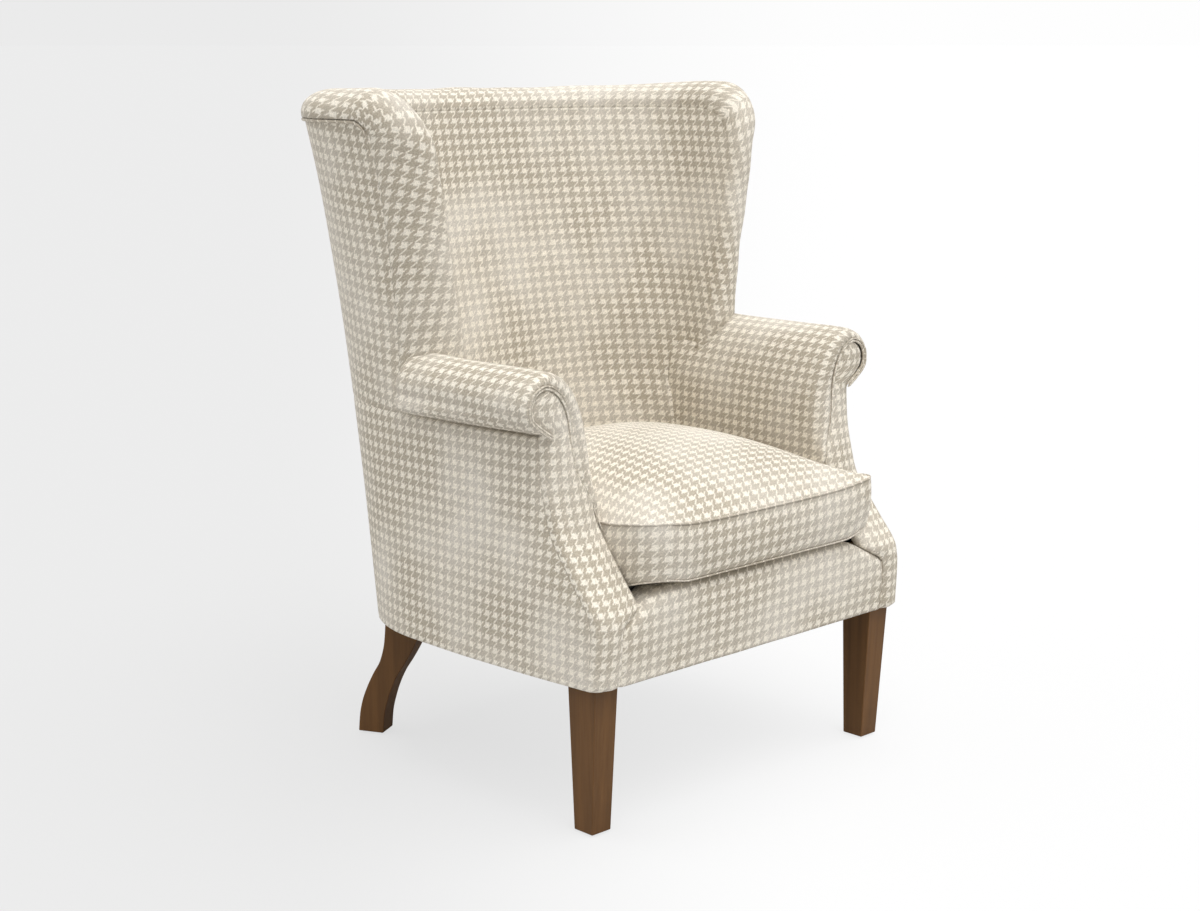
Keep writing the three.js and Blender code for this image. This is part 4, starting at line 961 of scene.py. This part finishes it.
# Piping under the roll's overhang: round the wing's seam corner and along the top of the outside
def makeTopPiping():
    turn = np.linspace(topPiping["firstTurn"], pi / 2, 20)
    size = tub["seamCorner"]
    z = tub["top"] - size * (1 - np.sin(turn)) - topPiping["drop"]
    run = acrossAt(tub["wingSeam"], z) - size * (1 - np.cos(turn)) - topPiping["drop"] * 0.5
    top = np.linspace(run[-1], 0, 90)[1:]
    run, z = np.concatenate([run, top]), np.concatenate([z, 0 * top + z[-1]])
    place = outside(run, z)
    out = unit((place - inside(run, z)) * [1, 1, 0])
    path = bothHalves(place + out * topPiping["proud"], [-1, 1, 1])
    count = len(path)
    cordAlong("topPiping", path, upwards,
              thinned(topPiping["radius"], count, (-4, 14), (count + 3, count - 15)), ["top_piping"])


makeTopPiping()

print("stage: front border")

border = {
    "half": 308.0, "back": 26.0, "round": 20.0, "hemBack": -14.0, "hemLift": 2.2, "lip": 330, "wave": 0.9,
    "endTuck": 4.0, "tuckFrom": 301.5, "tuckTo": 306.5, "checkLow": 222,
    "top": [  # height of the lip's top at each distance from the middle
        (0, 370), (150, 370), (190, 370), (215, 368), (243, 358), (262, 347), (277, 340), (295, 333), (306, 325),
    ],
}


# Cloth over the front rail: up the front, over a stuffed lip that is scooped at both ends
def makeBorder():
    x = np.linspace(-border["half"], border["half"], 123)
    top = blurred(np.interp(np.abs(x), *np.transpose(border["top"])), 2.5, 6)
    size, base, lip = border["round"], tub["base"], border["lip"]
    under, front = (np.linspace(0, 1, count)[:-1, None] for count in (5, 40))
    turn, flat = quarterTurn(12)[:, None], np.linspace(0, 1, 6)[1:, None]
    y = np.concatenate([
        lerp(border["hemBack"], tub["hemY"], under), armFront(np.linspace(base, lip, 39))[:, None],
        armFront(lip) + size * (1 - np.cos(turn)), lerp(armFront(lip) + size, border["back"], flat),
    ])
    z = np.concatenate([
        lerp(base + border["hemLift"], base, under) + 0 * x, base + (top - size - base) * front,
        top - size + size * np.sin(turn), top + 0 * flat,
    ])
    grid = together(x, y, z)
    tuck = border["endTuck"] * smooth(np.abs(x), border["tuckFrom"], border["tuckTo"])
    grid[..., 1] += tuck - waves(grid, 120, 90, border["wave"])
    made = clothPiece("frontBorder", grid, together(x, lengthsAlong(grid) + border["checkLow"]), "border",
                      "front_border", (0, 60, 300))


makeBorder()

print("stage: cushion")

cushion = {
    "front": -44.0, "back": 491.0, "half": 258.0, "bottom": 370.6, "seam": 464.0, "crown": 80.0, "middle": 245.0,
    "columns": 75, "rows": 78, "levels": 13, "radiusLeft": 46.0, "radiusRight": 16.0, "wideRight": 6.0,
    "domePower": 2.5, "domeFullness": 0.8, "band": 4.5, "baseShare": 0.985, "baseBack": 0.02,
    "earLift": 9.0, "frontLift": 6.0, "liftLeft": 8.0, "liftRight": 12.0,
    "cap": 24.0, "sideRoom": 259.2, "zipGap": 0.6, "zipEnd": 128.0, "frames": 20, "rimHold": 0.35,
    "cloth": {
        "quality": 6, "mass": 0.3, "tension_stiffness": 40, "compression_stiffness": 40, "shear_stiffness": 12,
        "bending_stiffness": 0.8, "use_pressure": True, "uniform_pressure_force": 4.0,
        "vertex_group_mass": "held", "pin_stiffness": 1.0,
    },
    "cords": [("cushionTopPiping", 1.7), ("cushionBasePiping", 1.3)],
}


# Half width of the cushion at each distance from the front: straight sides, an elliptical
# corner at the front, and the barrel's own outline at the back
def cushionHalf(y, sign):
    radius = cushion["radiusRight"] if sign > 0 else cushion["radiusLeft"]
    ahead = np.clip((cushion["front"] + radius - y) / radius, 0, 1)
    wide = cushion["half"] + (cushion["wideRight"] if sign > 0 else 0.0) * smooth(y, 60, -10)
    frontHalf = wide - radius * (1 - np.sqrt(1 - np.minimum(ahead, 0.995) ** 2))
    table = inside(np.linspace(0, tub["quarter"], 97), 430.0)
    order = np.argsort(table[:, 1])
    rearHalf = np.interp(y, table[order, 1], table[order, 0]) - 1.5
    return np.where(y > 330, np.minimum(frontHalf, rearHalf), frontHalf)


# The rear border lies flat behind the zip's tape; points in metres
def behindZip(points):
    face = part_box("zip_tape")[0][1] - cushion["zipGap"] / 1000
    beside = smooth(np.abs(points[:, 0]) * 1000, cushion["zipEnd"], cushion["zipEnd"] + 22)
    points[:, 1] = np.minimum(points[:, 1], face + 0.005 * beside)
    return points


# A closed cover: a domed top, crown (1 - |xi|^p)(1 - |eta|^p) high, a border that bulges
# as half a sine, and a flat base that lifts at its front corners
def makeCushion():
    rows, columns, levels = cushion["rows"], cushion["columns"], cushion["levels"]
    y = np.linspace(cushion["front"], cushion["back"], rows)[:, None]
    xi = np.linspace(-1, 1, columns)
    x = np.where(xi >= 0, xi * cushionHalf(y, 1), xi * cushionHalf(y, -1))
    middle = cushion["middle"]
    reach = np.where(y < middle, middle - cushion["front"], cushion["back"] - middle)
    eta = np.abs(y - middle) / reach
    dome = (1 - np.abs(xi) ** cushion["domePower"]) * (1 - np.abs(eta) ** cushion["domePower"])
    ears = cushion["earLift"] * np.abs(xi) ** 5 * smooth(y, 60, -30)
    topZ = cushion["seam"] + ears + cushion["crown"] * np.maximum(dome, 0) ** cushion["domeFullness"]
    cornerLift = np.where(xi < 0, cushion["liftLeft"], cushion["liftRight"]) * smooth(np.abs(xi), 0.8, 1.02)
    bottomZ = cushion["bottom"] + (cushion["frontLift"] + cornerLift) * smooth(y, 30, -36)
    top = together(x, y, topZ).reshape(-1, 3)
    bottom = together(x * cushion["baseShare"], lerp(y, middle, cushion["baseBack"]), bottomZ).reshape(-1, 3)
    # The rim runs round the outline once, counted from the front left corner
    index = np.arange(rows * columns).reshape(rows, columns)
    rim = np.concatenate([index[0, :-1], index[:-1, -1], index[-1, :0:-1], index[:0:-1, 0]])
    count = len(rim)
    share = np.linspace(0, 1, levels + 1)[1:-1, None, None]
    out = unit((top[rim] - [0, middle, 0]) * [1, 1, 0])
    band = lerp(top[rim], bottom[rim], share) + out * (cushion["band"] * np.sin(pi * share))
    points = np.concatenate([top, band.reshape(-1, 3), bottom])
    bottomStart = len(points) - len(bottom)
    between = np.arange(len(top), bottomStart).reshape(levels - 1, count)
    rings = np.concatenate([rim[None], between, bottomStart + rim[None]])
    after = np.roll(rings, -1, axis=1)
    topFaces = gridFaces(rows, columns)
    bottomFaces = topFaces[:, ::-1] + bottomStart
    bandFaces = np.stack([rings[1:], after[1:], after[:-1], rings[:-1]], -1).reshape(-1, 4)
    along = lengthsAlong(np.vstack([top[rim], top[rim[:1]]])) + x[0, 0]
    down = np.linspace(cushion["seam"], cushion["bottom"], levels + 1)[:, None]
    u = np.stack([along[:-1], along[1:], along[1:], along[:-1]], -1)
    v = np.stack([down[1:], down[1:], down[:-1], down[:-1]], -1)
    flatTop = inRepeats(points[:, :2], "cushionTop")
    corners = np.concatenate([
        flatTop[topFaces], inRepeats(together(u, v), "cushionSide").reshape(-1, 4, 2), flatTop[bottomFaces],
    ])
    start = behindZip(toFrame(points))
    made = meshFrom("seatCushion", start, np.concatenate([topFaces, bandFaces, bottomFaces]).tolist(), corners)
    held = made.vertex_groups.new(name="held")
    held.add(list(range(bottomStart, len(points))), 1.0, "REPLACE")
    held.add(rim.tolist(), cushion["rimHold"], "REPLACE")
    puff(made, start)
    return made, rim, bottomStart


def pointsOf(mesh):
    values = np.empty(len(mesh.vertices) * 3, np.float32)
    mesh.vertices.foreach_get("co", values)
    return values.reshape(-1, 3).astype(float)


# Cloth simulation: the closed cover is blown up a little while its base is held
def puff(made, start):
    cover = made.modifiers.new("cloth", "CLOTH")
    for key, value in cushion["cloth"].items():
        setattr(cover.settings, key, value)
    cover.settings.effector_weights.gravity = 0
    cover.collision_settings.use_collision = False
    cover.point_cache.frame_start = 1
    cover.point_cache.frame_end = cushion["frames"]
    for number in range(1, cushion["frames"] + 1):
        scene.frame_set(number)
    change = pointsOf(made.evaluated_get(bpy.context.evaluated_depsgraph_get()).data) - start
    made.modifiers.clear()
    scene.frame_set(1)
    size = np.linalg.norm(change, axis=1, keepdims=True)
    moved = start + change * np.minimum(1, cushion["cap"] / 1000 / np.maximum(size, 1e-9))
    print("cushion moved", float(size.max()) * 1000, "mm at most, top", float(moved[:, 2].max()))
    room = cushion["sideRoom"] / 1000
    behind = moved[:, 1] > -0.25
    moved[behind, 0] = np.clip(moved[behind, 0], -room, room)
    made.data.vertices.foreach_set("co", behindZip(moved).astype(np.float32).ravel())
    made.data.update()


def finishCushion():
    made, rim, bottomStart = makeCushion()
    points = pointsOf(made.data) * 1000 + [0, feetLine, 0]
    turnOutwards(made)
    softer = made.modifiers.new("softer", "SUBSURF")
    softer.levels = softer.render_levels = 1
    finished(made, cloth, "seat_cushion", ["cushion_cover", "cushion_core"])
    kernel = np.array([1.0, 2, 3, 2, 1]) / 9
    for (name, radius), ring in zip(cushion["cords"], (rim, bottomStart + rim)):
        path = points[np.concatenate([ring[-12:], ring, ring[:12]])]
        path = np.stack([np.convolve(path[:, k], kernel, mode="same") for k in range(3)], -1)[11:-11]
        out = unit((path - [0, cushion["middle"], 0]) * [1, 1, 0])
        cordAlong(name, path + out * radius * 0.6, upwards, radius, [], "seat_cushion", "cushionSide", around=8)


finishCushion()

print("stage: legs")

frontLeg = {  # outer and inner x, front and rear y, at the top and at the foot
    "top": (344.5, 297.0, -13.3, 46.5), "foot": (338.0, 299.0, 0.0, 39.7), "low": 3.3, "high": 238.6,
}
rearLeg = {  # the rear and the front edge of the plank at each height
    "at": (281.0, 585.0), "turn": 27.7, "width": 41.0,
    "heights": [3.3, 35, 60, 84, 109, 131, 156, 177, 201, 238.6],
    "rear": [45, 42, 36.5, 27.5, 15.5, 3, -4.5, -7.5, -9.5, -14],
    "front": [-1, -4, -10, -18, -29.5, -43.5, -58, -68, -80, -88],
}
legBevel = {
    "width": 0.0016, "segments": 3, "limit_method": "ANGLE", "angle_limit": np.radians(40), "harden_normals": True,
}


# A leg from four-cornered rings, closed at both ends, with bevelled edges
def legFrom(name, rings, node):
    total = rings.shape[0] * 4
    faces = gridFaces(len(rings), 4, closed=True).tolist() + [[3, 2, 1, 0], list(range(total - 4, total))]
    made = meshFrom(name, toFrame(rings.reshape(-1, 3)), faces)
    turnOutwards(made)
    bevel = made.modifiers.new("edge", "BEVEL")
    for key, value in legBevel.items():
        setattr(bevel, key, value)
    finished(made, legWood, "chair_frame", [node])


# Front legs taper straight; rear legs follow two smooth curves sawn from a plank
def makeLegs(side, sign):
    share = np.linspace(0, 1, 12)
    out, inn, front, rear = (lerp(foot, top, share) for foot, top in zip(frontLeg["foot"], frontLeg["top"]))
    x, y = together(out, inn, inn, out), together(front, front, rear, rear)
    z = lerp(frontLeg["low"], frontLeg["high"], share)[:, None]
    legFrom(f"frontLeg{side}", together(sign * x, y, z), f"front_leg_{side.lower()}")
    table = curveThrough(np.stack([rearLeg["heights"], rearLeg["front"], rearLeg["rear"]], -1), 60)
    turn = np.radians(rearLeg["turn"])
    along = table[:, [1, 1, 2, 2]]
    across = rearLeg["width"] * np.array([0, 1, 1, 0])
    x = sign * (rearLeg["at"][0] + along * np.sin(turn) - across * np.cos(turn))
    y = rearLeg["at"][1] + along * np.cos(turn) + across * np.sin(turn)
    legFrom(f"rearLeg{side}", together(x, y, table[:, :1]), f"rear_leg_{side.lower()}")


for side, sign in sides:
    makeLegs(side, sign)

print("stage: finish")
